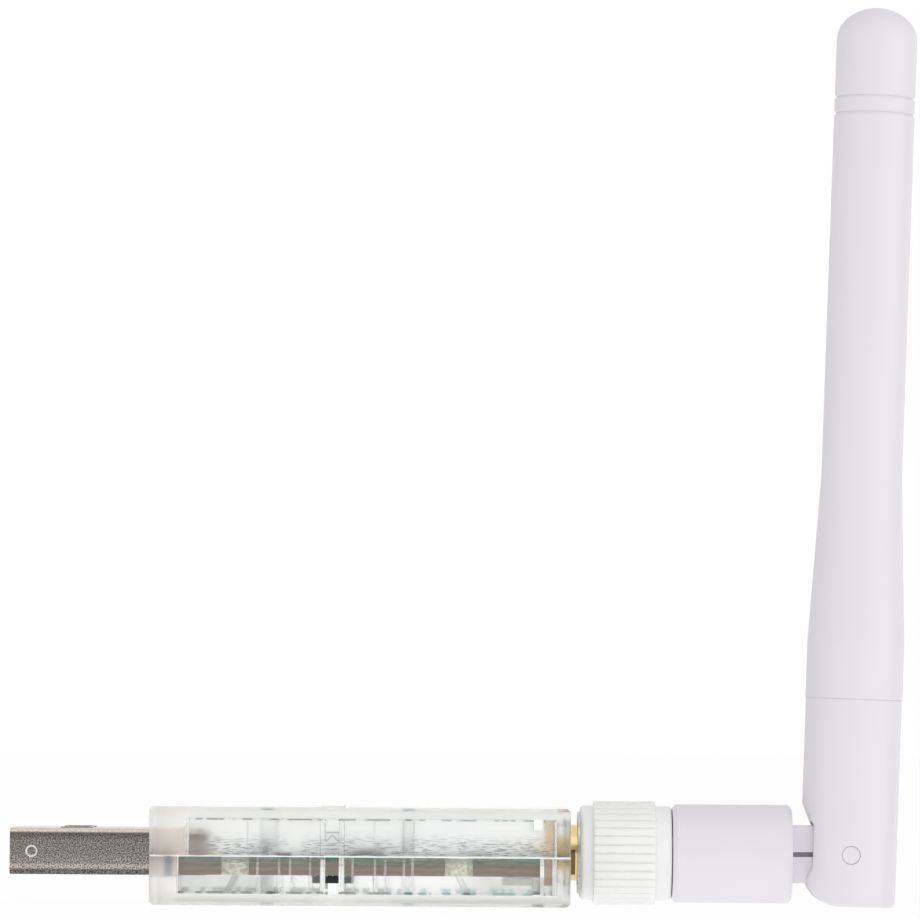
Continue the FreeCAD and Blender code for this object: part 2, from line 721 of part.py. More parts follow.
# Coupling nut: a knurled white sleeve moulded round a threaded metal insert
def nut_sleeve():
    body = new_piece("nut_sleeve", AXIS)
    bore = "(insert_radius+fit_gap)"
    knurl = (f"({NUT_FRONT}+front_shoulder)", f"({NUT_BACK}-rear_shoulder)")
    turned(body, [(NUT_FRONT, bore), (NUT_BACK, bore), (NUT_BACK, "rear_shoulder_radius-nut_edge"),
                  (f"{NUT_BACK}-nut_edge", "rear_shoulder_radius"), (knurl[1], "rear_shoulder_radius"),
                  (knurl[1], "knurl_radius"), (knurl[0], "knurl_radius"), (knurl[0], "shoulder_radius"), (f"{NUT_FRONT}+nut_edge", "shoulder_radius"),
                  (NUT_FRONT, "shoulder_radius-nut_edge")])
    groove = sketch_on(body, "YZ_Plane", knurl[0])
    floor = "(knurl_radius-knurl_groove)"
    outline(groove, [("-knurl_slot/2", "knurl_radius+knurl_groove"), ("-knurl_slot/4", floor),
                     ("knurl_slot/4", floor), ("knurl_slot/2", "knurl_radius+knurl_groove")])
    cut = pocket(body, groove, f"{knurl[1]}-{knurl[0]}", back=True)
    knurls = body.newObject("PartDesign::PolarPattern", "knurls")
    knurls.Originals = [cut]
    knurls.Axis = (origin_item(body, "X_Axis"), [""])
    knurls.Angle = 360
    bind(knurls, "Occurrences", "knurl_count")
    body.Tip = knurls
    return body


nut_sleeve()


NUT_THREAD = "(thread_radius+thread_play)"
INSERT_FRONT = f"({NUT_FRONT}-insert_proud)"
RING_POCKET = (f"({RING_FRONT}-ring_play)", f"({RING_BACK}+ring_play)")
turned_piece("nut_insert",
             tube_profile(INSERT_FRONT, f"{NUT_BACK}-nut_edge", "shank_radius+shank_play", "insert_radius"),
             tube_profile(INSERT_FRONT, f"{COLLAR_BACK}+ring_play", "0", NUT_THREAD),
             tube_profile(*RING_POCKET, "0", "ring_outer+ring_play"))

turned_piece("retaining_ring", tube_profile(RING_FRONT, RING_BACK, "ring_inner", "ring_outer"))
turned_piece("seal_ring",
             tube_profile(SEAL_FRONT, f"{COLLAR_FRONT}-fit_gap", "jack_mouth_radius", "collar_radius-fit_gap"))


# Antenna connector: ferrule, dielectric and pin, carried on the cable inside the barrel
def plug_ferrule():
    nose = "(jack_mouth_radius-nose_play)"
    barb = f"({SHANK_BACK}-barb_length)"
    collar_edge = "(collar_radius-nose_play)"
    return turned_piece(
        "plug_ferrule",
        [(f"{JACK_FACE}+nose_play", "0"), (SHANK_BACK, "0"), (SHANK_BACK, "shank_radius"), (barb, "barb_radius"),
         (barb, "shank_radius"), (COLLAR_BACK, "shank_radius"), (COLLAR_BACK, collar_edge),
         (RING_BACK, collar_edge), (RING_BACK, "ring_inner-fit_gap"), (RING_FRONT, "ring_inner-fit_gap"),
         (RING_FRONT, collar_edge), (COLLAR_FRONT, collar_edge), (COLLAR_FRONT, nose),
         (f"{JACK_FACE}+nose_play", nose)],
        tube_profile(f"{JACK_FACE}+nose_play", COLLAR_FRONT, "0", "core_radius"),
        tube_profile(COLLAR_FRONT, SHANK_BACK, "0", "cable_radius+fit_gap"))


plug_ferrule()
turned_piece("plug_dielectric",
             tube_profile(f"{JACK_FACE}+nose_play", f"{COLLAR_FRONT}-fit_gap", "pin_radius+fit_gap",
                          "core_radius-fit_gap"))
turned_piece("plug_pin", tube_profile(f"{JACK_FACE}-pin_reach", f"{COLLAR_FRONT}-fit_gap", "0", "pin_radius"))


# Swivel barrel: turns on the ferrule's shank and ends in the hinge tongue
def swivel_barrel():
    body = new_piece("swivel_barrel", AXIS)
    turned(body, [(BARREL_FRONT, "0"), (BARREL_BACK, "0"), (BARREL_BACK, "barrel_radius-barrel_edge"),
                  (f"{BARREL_BACK}-barrel_edge", "barrel_radius"), (f"{BARREL_FRONT}+barrel_edge", "barrel_radius"),
                  (BARREL_FRONT, "barrel_radius-barrel_edge")])
    side = sketch_on(body, "XZ_Plane")
    outline(side, [(f"{BARREL_BACK}-barrel_edge", f"-{TONGUE_ROUND}"), (HINGE, f"-{TONGUE_ROUND}", HINGE, "0", 1),
                   (HINGE, TONGUE_ROUND), (f"{BARREL_BACK}-barrel_edge", TONGUE_ROUND)])
    pad(body, side, "tongue_width", both=True)
    slit_end = f"({HINGE}-slit_stop)"
    slit = sketch_on(body, "XZ_Plane")
    rectangle(slit, BARREL_BACK, slit_end, "-tongue_slit/2", "tongue_slit/2")
    pocket(body, slit, "2*tongue_width", both=True)
    hole = sketch_on(body, "XZ_Plane")
    circle(hole, HINGE, "0", "hinge_pin_radius+hinge_play")
    pocket(body, hole, "2*tongue_width", both=True)
    turned(body, tube_profile(BARREL_FRONT, f"{SHANK_BACK}+shank_play", "0", "shank_radius+shank_play"), cut=True)
    barb = f"({SHANK_BACK}-barb_length-shank_play)"
    turned(body, tube_profile(barb, f"{SHANK_BACK}+shank_play", "0", "barb_radius+shank_play"), cut=True)
    turned(body, tube_profile(SHANK_BACK, slit_end, "0", "cable_radius+cable_play"), cut=True)
    return body


swivel_barrel()
turned_piece("cable_in_barrel", tube_profile(COLLAR_FRONT, f"{HINGE}-slit_stop-cable_play", "0", "cable_radius"))


# Mast: each piece stands on the hinge axis and leans with it
def mast_piece(label):
    body = new_piece(label, AXIS)
    bind(body, "Placement.Base.x", HINGE)
    body.Placement.Rotation = FreeCAD.Rotation(ACROSS, number("antenna_lean"))
    bind(body, "Placement.Rotation.Angle", "antenna_lean")
    return body


def stand(body, corners, cut=False):
    """A profile turned about the mast's own axis, given as (height, radius) corners."""
    return turned(body, [(radius, height) for height, radius in corners], cut, "YZ_Plane", "V_Axis")


def antenna_base():
    body = mast_piece("antenna_base")
    past = "(base_radius+foot_round)"
    side = sketch_on(body, "XZ_Plane")
    foot = ("(foot_round-base_radius)", "(foot_round-base_foot)")
    toe = "(foot_round-base_foot)"
    outline(side, [(foot[0], "-base_foot"), (past, "-base_foot"), (past, "base_height"), (f"-{past}", "base_height"),
                   (f"-{past}", "relief_end"), ("-base_radius", "relief_end"), ("-relief_flat", "relief_high"),
                   ("-relief_flat", "-relief_low"), ("-relief_toe", "-relief_toe_low", *foot, 1)])
    pad(body, side, "2*base_radius", both=True)
    ring = sketch_on(body, "XY_Plane", "base_height")
    circle(ring, "0", "0", "base_radius")
    circle(ring, "0", "0", f"2*{past}")
    pocket(body, ring, "2*base_height")
    edge_step("Chamfer", body, "base_edge",
              lambda edge: at(edge, "Z", "-base_foot") and not along(edge, "Y"))
    stand(body, tube_profile("base_height-base_edge", SPIGOT_TOP, "0", "spigot_radius"))
    # The slot swings past the tongue from the side opening round to the foot
    slot = sketch_on(body, "XZ_Plane")
    outline(slot, [(f"-{past}", f"-{past}"), (SLOT_ROUND, f"-{past}"), (SLOT_ROUND, "0", "0", "0", 1),
                   ("0", SLOT_ROUND), (f"-{past}", SLOT_ROUND)])
    pocket(body, slot, "tongue_width+2*slot_play", both=True)
    hole = sketch_on(body, "XZ_Plane")
    circle(hole, "0", "0", "hinge_pin_radius+fit_gap")
    pocket(body, hole, "4*base_radius", both=True)
    stand(body, tube_profile("0", SPIGOT_TOP, "0", "base_bore"), cut=True)
    return body


antenna_base()


def hinge_pin():
    body = mast_piece("hinge_pin")
    end = sketch_on(body, "XZ_Plane")
    circle(end, "0", "0", "hinge_pin_radius")
    pad(body, end, "hinge_pin_length", both=True)
    return body


hinge_pin()


def antenna_sleeve():
    body = mast_piece("antenna_sleeve")
    # The round end is a crown with a tighter shoulder that meets it and the side smoothly
    inset, reach = "(mast_radius-dome_shoulder)", "(dome_crown-dome_shoulder)"
    rise = f"sqrt({reach}*{reach}-{inset}*{inset})"
    crown_centre = "(mast_height-dome_crown)"
    shoulder_centre = f"({crown_centre}+{rise})"
    meeting = (f"(dome_crown*{inset}/{reach})", f"({crown_centre}+dome_crown*{rise}/{reach})")
    outline_sketch = sketch_on(body, "YZ_Plane")
    outline(outline_sketch, [
        ("0", "base_height"), ("sleeve_radius", "base_height"), ("sleeve_radius", TAPER_START),
        ("mast_radius", TAPER_END),
        ("mast_radius", shoulder_centre, inset, shoulder_centre, 1),
        (*meeting, "0", crown_centre, 1), ("0", "mast_height")])
    step = body.newObject("PartDesign::Revolution", "sleeve_outside")
    step.Profile = outline_sketch
    step.ReferenceAxis = (outline_sketch, ["V_Axis"])
    step.Angle = 360
    for below_top in ("ring_one", "ring_two"):
        level_of_ring = f"(mast_height-{below_top})"
        stand(body, [(f"{level_of_ring}-ring_groove_width", "mast_radius+ring_groove"),
                     (level_of_ring, "mast_radius-ring_groove"),
                     (f"{level_of_ring}+ring_groove_width", "mast_radius+ring_groove")], cut=True)
    stand(body, tube_profile("base_height", "mast_height-sleeve_cap", "0", "sleeve_bore"), cut=True)
    stand(body, tube_profile("base_height", f"{SPIGOT_TOP}+fit_gap", "0", "spigot_radius+fit_gap"), cut=True)
    return body


antenna_sleeve()


def standing_piece(label, *profiles):
    body = mast_piece(label)
    for place, corners in enumerate(profiles):
        stand(body, corners, cut=place > 0)
    return body


standing_piece("cable_in_mast", tube_profile(f"{SLOT_ROUND}+cable_clear", DIPOLE_TOP, "0", "cable_radius"))
standing_piece("dipole_tube",
               tube_profile(f"{SPIGOT_TOP}+fit_gap", DIPOLE_TOP, "cable_radius+fit_gap", "dipole_radius"),
               tube_profile(f"{SPIGOT_TOP}+fit_gap", f"{DIPOLE_TOP}-dipole_wall", "0", "dipole_radius-dipole_wall"))
standing_piece("radiator_wire", tube_profile(DIPOLE_TOP, f"{DIPOLE_TOP}+wire_length", "0", "wire_radius"))


# Every feature has to be sound before any piece is written
doc.recompute()
for item in doc.Objects:
    if "Invalid" in item.State or "Error" in item.State:
        raise RuntimeError(f"{item.Label} failed: {item.State}")
os.makedirs("parts", exist_ok=True)
for piece in pieces:
    if piece.Shape.isNull() or not piece.Shape.isValid():
        raise RuntimeError(f"{piece.Label} has no valid shape")
    piece.Shape.exportStep(f"parts/{piece.Label}.step")
    print(piece.Label, len(piece.Shape.Solids), round(piece.Shape.Volume, 2))
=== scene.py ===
# A USB radio stick: a clear case with its board and plug, a gold coaxial jack, and a white
# rod antenna that screws on, swivels and tilts. Metres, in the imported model's own frame.
import math

import bmesh
import bpy
from mathutils import Matrix, Vector


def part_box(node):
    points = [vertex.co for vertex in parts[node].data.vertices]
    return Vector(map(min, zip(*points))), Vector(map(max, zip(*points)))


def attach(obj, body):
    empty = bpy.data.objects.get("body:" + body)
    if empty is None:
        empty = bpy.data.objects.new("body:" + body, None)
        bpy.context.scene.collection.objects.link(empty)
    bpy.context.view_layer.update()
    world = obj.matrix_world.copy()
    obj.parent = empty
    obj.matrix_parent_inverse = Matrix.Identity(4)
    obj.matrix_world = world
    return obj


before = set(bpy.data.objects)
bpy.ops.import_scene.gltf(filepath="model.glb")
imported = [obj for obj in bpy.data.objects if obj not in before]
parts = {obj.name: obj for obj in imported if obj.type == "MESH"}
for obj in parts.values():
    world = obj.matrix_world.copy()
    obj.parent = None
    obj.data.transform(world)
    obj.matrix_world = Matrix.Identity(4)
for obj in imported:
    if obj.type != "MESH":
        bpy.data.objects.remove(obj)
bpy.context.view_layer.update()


# The studio: a white table and white surroundings with two broad soft lamps, and a camera that looks
# at the stick's side from well away, a little above the table.
EYE = Vector((0.02747, -0.650, 0.01225))
YAW, PITCH, ROLL = 0.0036, 0.0404, 0.00702
FOCAL_SHARE = 6630.7 / 920
TABLE_LEVEL, TABLE_CORNERS = -0.00508, ((-2, -2), (2, -2), (2, 4), (-2, 4))
ROOM_LEVEL, RIGHT_LIFT, FRONT_LIFT = 0.72, 0.13, 0.30
TABLE_GLOW, TABLE_SHOWN = 1.1, 0.97
DARK_START, DARK_FULL, DARK_DEPTH = -0.72, -0.97, 0.58


def feed(tree, socket, value):
    """Gives a socket a plain value, or links it where the value is another node's output."""
    if isinstance(value, bpy.types.NodeSocket):
        tree.links.new(value, socket)
    elif socket.type == "RGBA":
        socket.default_value = (*value[:3], 1)
    else:
        socket.default_value = value


def step(tree, kind, values=None, **settings):
    """A new shader node with its settings and input values."""
    made = tree.nodes.new(kind)
    for name, value in settings.items():
        setattr(made, name, value)
    for name, value in (values or {}).items():
        feed(tree, made.inputs[name], value)
    return made


def calc(tree, operation, *values, clamp=False):
    """One step of arithmetic."""
    made = step(tree, "ShaderNodeMath", operation=operation, use_clamp=clamp)
    for place, value in enumerate(values):
        feed(tree, made.inputs[place], value)
    return made.outputs[0]


def product(tree, *values):
    """All the values multiplied together."""
    made = values[0]
    for value in values[1:]:
        made = calc(tree, "MULTIPLY", made, value)
    return made


def ramp(tree, value, low, high, at_low=0.0, at_high=1.0):
    """A value that turns smoothly from at_low to at_high while its input goes from low to high."""
    made = step(tree, "ShaderNodeMapRange", {0: value, 1: low, 2: high, 3: at_low, 4: at_high},
                interpolation_type="SMOOTHSTEP")
    return made.outputs[0]


def tint(tree, share, first, second):
    """The first colour turned towards the second by a share."""
    made = step(tree, "ShaderNodeMix", data_type="RGBA")
    feed(tree, made.inputs[0], share)
    feed(tree, made.inputs[6], first)
    feed(tree, made.inputs[7], second)
    return made.outputs[2]


def axes_of(tree, kind="Object"):
    """The X, Y and Z of a point's place, or with "Normal" of its face's direction."""
    return step(tree, "ShaderNodeSeparateXYZ", {0: step(tree, "ShaderNodeTexCoord").outputs[kind]}).outputs


camera = bpy.data.objects.new("camera", bpy.data.cameras.new("camera"))
bpy.context.scene.collection.objects.link(camera)
bpy.context.scene.camera = camera
forward = Vector((math.sin(YAW) * math.cos(PITCH), math.cos(YAW) * math.cos(PITCH), math.sin(PITCH)))
level_right = Vector((math.cos(YAW), -math.sin(YAW), 0))
level_up = level_right.cross(forward)
right = math.cos(ROLL) * level_right + math.sin(ROLL) * level_up
upward = math.cos(ROLL) * level_up - math.sin(ROLL) * level_right
facing = Matrix((right, upward, -forward)).transposed().to_4x4()
camera.matrix_world = Matrix.Translation(EYE) @ facing
camera.data.sensor_fit = "HORIZONTAL"
camera.data.sensor_width = 36
camera.data.lens = 36 * FOCAL_SHARE
camera.data.clip_start = 0.05
camera.data.clip_end = 20

bpy.context.scene.view_settings.view_transform = "Standard"
bpy.context.scene.cycles.max_bounces = 32
bpy.context.scene.cycles.glossy_bounces = 24
bpy.context.scene.cycles.transmission_bounces = 32
bpy.context.scene.cycles.blur_glossy = 0.0
surroundings = bpy.data.worlds.new("surroundings")
bpy.context.scene.world = surroundings
surroundings.use_nodes = True
tree = surroundings.node_tree
tree.nodes.clear()
ray = step(tree, "ShaderNodeLightPath")
direction = step(tree, "ShaderNodeTexCoord").outputs["Generated"]
towards = step(tree, "ShaderNodeSeparateXYZ", {0: direction}).outputs
mirrored = calc(tree, "SUBTRACT", ray.outputs["Is Glossy Ray"], ray.outputs["Is Transmission Ray"],
                clamp=True)
dark_side = product(tree, ramp(tree, towards["Y"], DARK_START, DARK_FULL), mirrored)
mirrored_room = calc(tree, "MULTIPLY_ADD", dark_side, -DARK_DEPTH, 1.0)
graded = calc(tree, "MULTIPLY_ADD", towards["Y"], -FRONT_LIFT, ROOM_LEVEL)
graded = calc(tree, "MULTIPLY_ADD", towards["X"], RIGHT_LIFT, graded)
seen = calc(tree, "MAXIMUM", ray.outputs["Is Camera Ray"], ray.outputs["Is Glossy Ray"])
seen = calc(tree, "MAXIMUM", seen, ray.outputs["Is Transmission Ray"])
room_light = step(tree, "ShaderNodeBackground", {"Color": (1, 1, 1, 1), "Strength": graded})
white_room = step(tree, "ShaderNodeBackground", {"Color": (1, 1, 1, 1), "Strength": mirrored_room})
both = step(tree, "ShaderNodeMixShader", {0: seen, 1: room_light.outputs[0], 2: white_room.outputs[0]})
step(tree, "ShaderNodeOutputWorld", {"Surface": both.outputs[0]})

table_mesh = bpy.data.meshes.new("table")
table_mesh.from_pydata([(x, y, TABLE_LEVEL) for x, y in TABLE_CORNERS], [], [(0, 1, 2, 3)])
table = bpy.data.objects.new("table", table_mesh)
bpy.context.scene.collection.objects.link(table)
table_finish = bpy.data.materials.new("white_table")
table_finish.use_nodes = True
tree = table_finish.node_tree
tree.nodes.clear()
ray = step(tree, "ShaderNodeLightPath")
seen = calc(tree, "MAXIMUM", ray.outputs["Is Glossy Ray"], ray.outputs["Is Transmission Ray"])
seen = calc(tree, "MAXIMUM", seen, product(tree, ray.outputs["Is Camera Ray"], TABLE_SHOWN))
seen = calc(tree, "MAXIMUM", seen, ray.outputs["Is Diffuse Ray"])
paper = step(tree, "ShaderNodeBsdfDiffuse", {"Color": (0.92, 0.92, 0.92, 1)})
brighter = calc(tree, "MULTIPLY_ADD", ray.outputs["Is Diffuse Ray"], TABLE_GLOW - 1, 1.0)
glow = step(tree, "ShaderNodeEmission", {"Color": (1, 1, 1, 1), "Strength": brighter})
both = step(tree, "ShaderNodeMixShader", {0: seen, 1: paper.outputs[0], 2: glow.outputs[0]})
step(tree, "ShaderNodeOutputMaterial", {"Surface": both.outputs[0]})
table_mesh.materials.append(table_finish)

for name, place, width, power in (("low_right_lamp", (0.75, -0.50, 0.10), 0.5, 0.35),
                                  ("upper_lamp", (0.25, -0.45, 0.65), 0.6, 0.3)):
    lamp = bpy.data.objects.new(name, bpy.data.lights.new(name, "AREA"))
    lamp.data.shape = "SQUARE"
    lamp.data.size = width
    lamp.data.energy = power
    lamp.location = place
    lamp.rotation_euler = (Vector((0.03, 0, 0.02)) - lamp.location).to_track_quat("-Z", "Y").to_euler()
    bpy.context.scene.collection.objects.link(lamp)


# The case: two halves moulded in clear polycarbonate that snap together on one level line. The outside is
# polished, the hollow keeps the ripple of its mould, and the upright sides of the thick roof, floor and
# end blocks are frosted and faintly green.
CLEAR, CLEAR_EDGE, CLEAR_END = (0.992, 0.995, 0.988), (0.965, 0.972, 0.95), (0.985, 0.985, 0.97)
PINKISH, CORNER_REFLECTION_GREY, CORNER_REFLECTION_TEAL = (0.96, 0.915, 0.885), (0.20, 0.21, 0.20), (0.22, 0.40, 0.39)
STREAK_PAINTED_SHADE, LOW_GREY, LUG_GREY = (0.28, 0.30, 0.32), (0.72, 0.73, 0.70), (0.80, 0.83, 0.84)
ROOF_LEVEL, FLOOR_LEVEL, PARTING = 0.00336, -0.00396, -0.0003
HOLLOW_SIDE, HOLLOW_END = 0.0079, 0.0407
FRONT_BLOCK, FRONT_LEDGE, REAR_BLOCK = 0.0026, 0.0009, 0.0393
EDGE_ROUND, STREAK_DEPTH, WAVE_DEPTH = 0.00012, 0.00001, 0.000012
POLISH, EDGE_FROST, END_FROST = 0.015, 0.3, 0.42
HOLLOW_MATT, UPPER_MATT, LEVEL_SHARE = 0.12, 0.16, 0.3
# Each painted dark upright line, standing in for refraction at the grips: its place along the case, and its
# strength
UPRIGHT_LINES = [(0.0095, 0.45), (0.01075, 0.3), (0.0123, 0.3), (0.0218, 0.2), (0.0246, 0.3), (0.0256, 0.3)]


def new_finish(name, colour, roughness, metallic=0.0, **sockets):
    """A material on the Principled shader, with its plain values on the shader's own sockets."""
    finish = bpy.data.materials.new(name)
    finish.use_nodes = True
    shader = finish.node_tree.nodes["Principled BSDF"]
    feed(finish.node_tree, shader.inputs["Base Color"], colour)
    shader.inputs["Roughness"].default_value = roughness
    shader.inputs["Metallic"].default_value = metallic
    for socket, value in sockets.items():
        shader.inputs[socket.replace("_", " ")].default_value = value
    return finish, finish.node_tree, shader


def dress(finish, *names):
    """Gives a finish to CAD nodes, by their names."""
    for name in names:
        for place in parts[name].material_slots:
            place.material = finish


def between(tree, value, low, high, soft):
    """A mask that is 1 between two values and fades to 0 over a soft width outside them."""
    rising = ramp(tree, value, low - soft, low)
    falling = ramp(tree, value, high + soft, high)
    return product(tree, rising, falling)


clear, tree, shader = new_finish("clear_polycarbonate", CLEAR, POLISH, Transmission_Weight=0.975, IOR=1.5)
place = step(tree, "ShaderNodeTexCoord").outputs["Object"]
axes = step(tree, "ShaderNodeSeparateXYZ", {0: place}).outputs
side_distance = calc(tree, "ABSOLUTE", axes["Y"])
hollow = product(tree, between(tree, axes["Z"], FLOOR_LEVEL, ROOF_LEVEL, 0.00002),
                 between(tree, axes["X"], 0.00002, HOLLOW_END, 0.00001),
                 calc(tree, "LESS_THAN", side_distance, HOLLOW_SIDE + 0.00002))
upper = ramp(tree, axes["Z"], PARTING - 0.00005, PARTING + 0.00005)
front_edge = calc(tree, "MULTIPLY_ADD", upper, FRONT_LEDGE, FRONT_BLOCK)
front_depth = calc(tree, "SUBTRACT", front_edge, axes["X"])
rear_depth = calc(tree, "SUBTRACT", axes["X"], REAR_BLOCK)
ends = calc(tree, "ADD", ramp(tree, front_depth, 0.0, 0.0002), ramp(tree, rear_depth, 0.0, 0.0002))
thin = between(tree, axes["Z"], FLOOR_LEVEL + 0.0001, ROOF_LEVEL - 0.0001, 0.0002)
thick = calc(tree, "SUBTRACT", 1.0, thin)
thick = calc(tree, "MAXIMUM", thick, ends)
stretched = step(tree, "ShaderNodeMapping", {"Vector": place, "Scale": (0.13, 1, 1)}).outputs[0]
ripple = step(tree, "ShaderNodeTexNoise", {"Vector": stretched, "Scale": 8500.0, "Detail": 4.0}).outputs[0]
upright = step(tree, "ShaderNodeMapping", {"Vector": place, "Scale": (1, 1, 0.05)}).outputs[0]
stripe = step(tree, "ShaderNodeTexNoise", {"Vector": upright, "Scale": 1500.0, "Detail": 2.0}).outputs[0]
cloud = step(tree, "ShaderNodeTexNoise", {"Vector": place, "Scale": 300.0, "Detail": 2.0}).outputs[0]
wave = step(tree, "ShaderNodeTexNoise", {"Vector": place, "Scale": 420.0, "Detail": 1.0}).outputs[0]
# Painted shade: the mould's ripple streaks and the upright lines get a dark grey colour that stands in for
# their refraction. The ripple's relief goes to the bump.
band = product(tree, between(tree, axes["Z"], PARTING, 0.0006, 0.0017), ramp(tree, cloud, 0.3, 0.52),
               ramp(tree, axes["X"], 0.0050, 0.0065))
ripple_and_painted_shade = product(tree, ramp(tree, ripple, 0.49, 0.61), band, hollow)
for line, strength in UPRIGHT_LINES:
    on_line = between(tree, axes["X"], line - 0.00005, line + 0.00005, 0.00005)
    painted_line_shade = product(tree, on_line, between(tree, axes["Z"], 0.0002, 0.0030, 0.0003), hollow, strength)
    ripple_and_painted_shade = calc(tree, "MAXIMUM", ripple_and_painted_shade, painted_line_shade)
lengthwise = step(tree, "ShaderNodeMapping", {"Vector": place, "Scale": (1, 0.01, 0.01)}).outputs[0]
dashes = step(tree, "ShaderNodeTexNoise", {"Vector": lengthwise, "Scale": 600.0, "Detail": 1.0}).outputs[0]
# Painted reflection: dark dashes along the hollow's roof and floor edges, grey towards the front and teal
# towards the rear, stand in for the dark that the inner edges reflect.
corners = calc(tree, "ADD", between(tree, axes["Z"], ROOF_LEVEL - 0.00016, ROOF_LEVEL - 0.00002, 0.00004),
               between(tree, axes["Z"], FLOOR_LEVEL + 0.00002, FLOOR_LEVEL + 0.00024, 0.00004))
corners = product(tree, corners, hollow, ramp(tree, dashes, 0.47, 0.51, 0.1, 1.0))
painted_corner_reflection = tint(tree, ramp(tree, axes["X"], 0.022, 0.024), CORNER_REFLECTION_GREY, CORNER_REFLECTION_TEAL)
before_latch, past_latch = ramp(tree, axes["X"], 0.0125, 0.0105), ramp(tree, axes["X"], 0.029, 0.034)
# Greyer in cloudy patches towards the bottom of the hollow, ahead of and past the latch.
greyer_low_clouds = product(tree, ramp(tree, axes["Z"], -0.0020, -0.0024), ramp(tree, cloud, 0.25, 0.55),
                   calc(tree, "ADD", before_latch, past_latch), hollow)
lug = product(tree, between(tree, axes["X"], 0.0171, 0.0184, 0.0001),
              between(tree, axes["Z"], 0.0, 0.0020, 0.0001), hollow)
drawn = product(tree, ramp(tree, stripe, 0.42, 0.6), ramp(tree, axes["X"], 0.0038, 0.0032))
banded = tint(tree, thick, CLEAR, tint(tree, ends, CLEAR_EDGE, CLEAR_END))
body_colour = tint(tree, drawn, banded, PINKISH)
body_colour = tint(tree, lug, tint(tree, greyer_low_clouds, body_colour, LOW_GREY), LUG_GREY)
streak_shaded = tint(tree, ripple_and_painted_shade, body_colour, STREAK_PAINTED_SHADE)
feed(tree, shader.inputs["Base Color"], tint(tree, corners, streak_shaded, painted_corner_reflection))
height = calc(tree, "ADD", product(tree, ripple_and_painted_shade, STREAK_DEPTH), product(tree, wave, WAVE_DEPTH))
rounded = step(tree, "ShaderNodeBevel", {"Radius": EDGE_ROUND}, samples=4).outputs[0]
relief = step(tree, "ShaderNodeBump", {"Height": height, "Strength": 1.0, "Distance": 1.0, "Normal": rounded})
feed(tree, shader.inputs["Normal"], relief.outputs[0])
matt = product(tree, hollow, calc(tree, "MULTIPLY_ADD", upper, UPPER_MATT, HOLLOW_MATT))
across = axes_of(tree, "Normal")
upright_face = calc(tree, "LESS_THAN", calc(tree, "ABSOLUTE", across["Z"]), 0.9)
frosted = product(tree, thick, upright_face)
matt = product(tree, matt, ramp(tree, upright_face, 0.0, 1.0, LEVEL_SHARE, 1.0))
matt = calc(tree, "MAXIMUM", matt, product(tree, frosted, EDGE_FROST))
front_frost = product(tree, frosted, ramp(tree, front_depth, 0.0, 0.0002, 0.0, END_FROST))
matt = calc(tree, "MAXIMUM", matt, front_frost)
feed(tree, shader.inputs["Roughness"], calc(tree, "ADD", matt, POLISH))
dress(clear, "upper_shell", "lower_shell")


# The plug: a steel shell folded to the standard size and plated with nickel, with a black moulded tongue
# that carries four gilded strips. The plating is full of fine dark pits, and the fold closes underneath.
NICKEL, PIT, SEAM_BLACK = (0.49, 0.453, 0.405), (0.105, 0.096, 0.086), (0.03, 0.03, 0.03)
DRAWN_EDGE, DRAWN_SHARE = (0.35, 0.33, 0.295), 0.75
DIMPLE_SPOT, DIMPLE_RIM_HIGHLIGHT, RIM_RISE = (-0.0115, 0, 0), (0.97, 0.96, 0.94), 0.00005
# Each step of painted reflection and shade on the plug's sides, with the painted highlight of the top fold
# last: the height where it starts, where it is full, and how much it is
PAINTED_REFLECTION_STEPS = [(0.0017, 0.0009, 0.4), (0.0, -0.0009, 0.2), (-0.0011, -0.00135, 0.65),
              (-0.0016, -0.0018, -1.3), (0.00174, 0.00186, 1.2)]


def new_group(name, inputs, outputs):
    """An empty node group. Inputs are (name, kind, default), outputs are (name, kind)."""
    group = bpy.data.node_groups.new(name, "ShaderNodeTree")
    for socket, kind, value in inputs:
        made = group.interface.new_socket(socket, in_out="INPUT", socket_type="NodeSocket" + kind)
        made.default_value = value
    for socket, kind in outputs:
        group.interface.new_socket(socket, in_out="OUTPUT", socket_type="NodeSocket" + kind)
    return group, group.nodes.new("NodeGroupInput").outputs, group.nodes.new("NodeGroupOutput").inputs


plating, given, result = new_group(
    "plated_metal",
    [("Colour", "Color", (0.5, 0.5, 0.5, 1)), ("Pit Colour", "Color", (0.1, 0.1, 0.1, 1)),
     ("Pits", "Float", 0.3), ("Grain Size", "Float", 6000.0), ("Roughness", "Float", 0.3)],
    [("Colour", "Color"), ("Roughness", "Float"), ("Height", "Float")])
spot = step(plating, "ShaderNodeTexCoord").outputs["Object"]
fine = step(plating, "ShaderNodeTexNoise", {"Vector": spot, "Scale": given["Grain Size"], "Detail": 4.0,
                                            "Roughness": 0.65}).outputs[0]
broad = step(plating, "ShaderNodeTexNoise", {"Vector": spot, "Scale": 380.0, "Detail": 2.0}).outputs[0]
edge = calc(plating, "SUBTRACT", 0.75, product(plating, given["Pits"], 0.5))
pits = ramp(plating, fine, calc(plating, "SUBTRACT", edge, 0.08), calc(plating, "ADD", edge, 0.08))
shade = calc(plating, "MULTIPLY_ADD", broad, 0.22, 0.89)
shaded = step(plating, "ShaderNodeVectorMath", {0: given["Colour"], "Scale": shade}, operation="SCALE")
feed(plating, result["Colour"], tint(plating, pits, shaded.outputs[0], given["Pit Colour"]))
rougher = calc(plating, "MULTIPLY_ADD", pits, 0.12, given["Roughness"], clamp=True)
feed(plating, result["Roughness"], rougher)
feed(plating, result["Height"], fine)


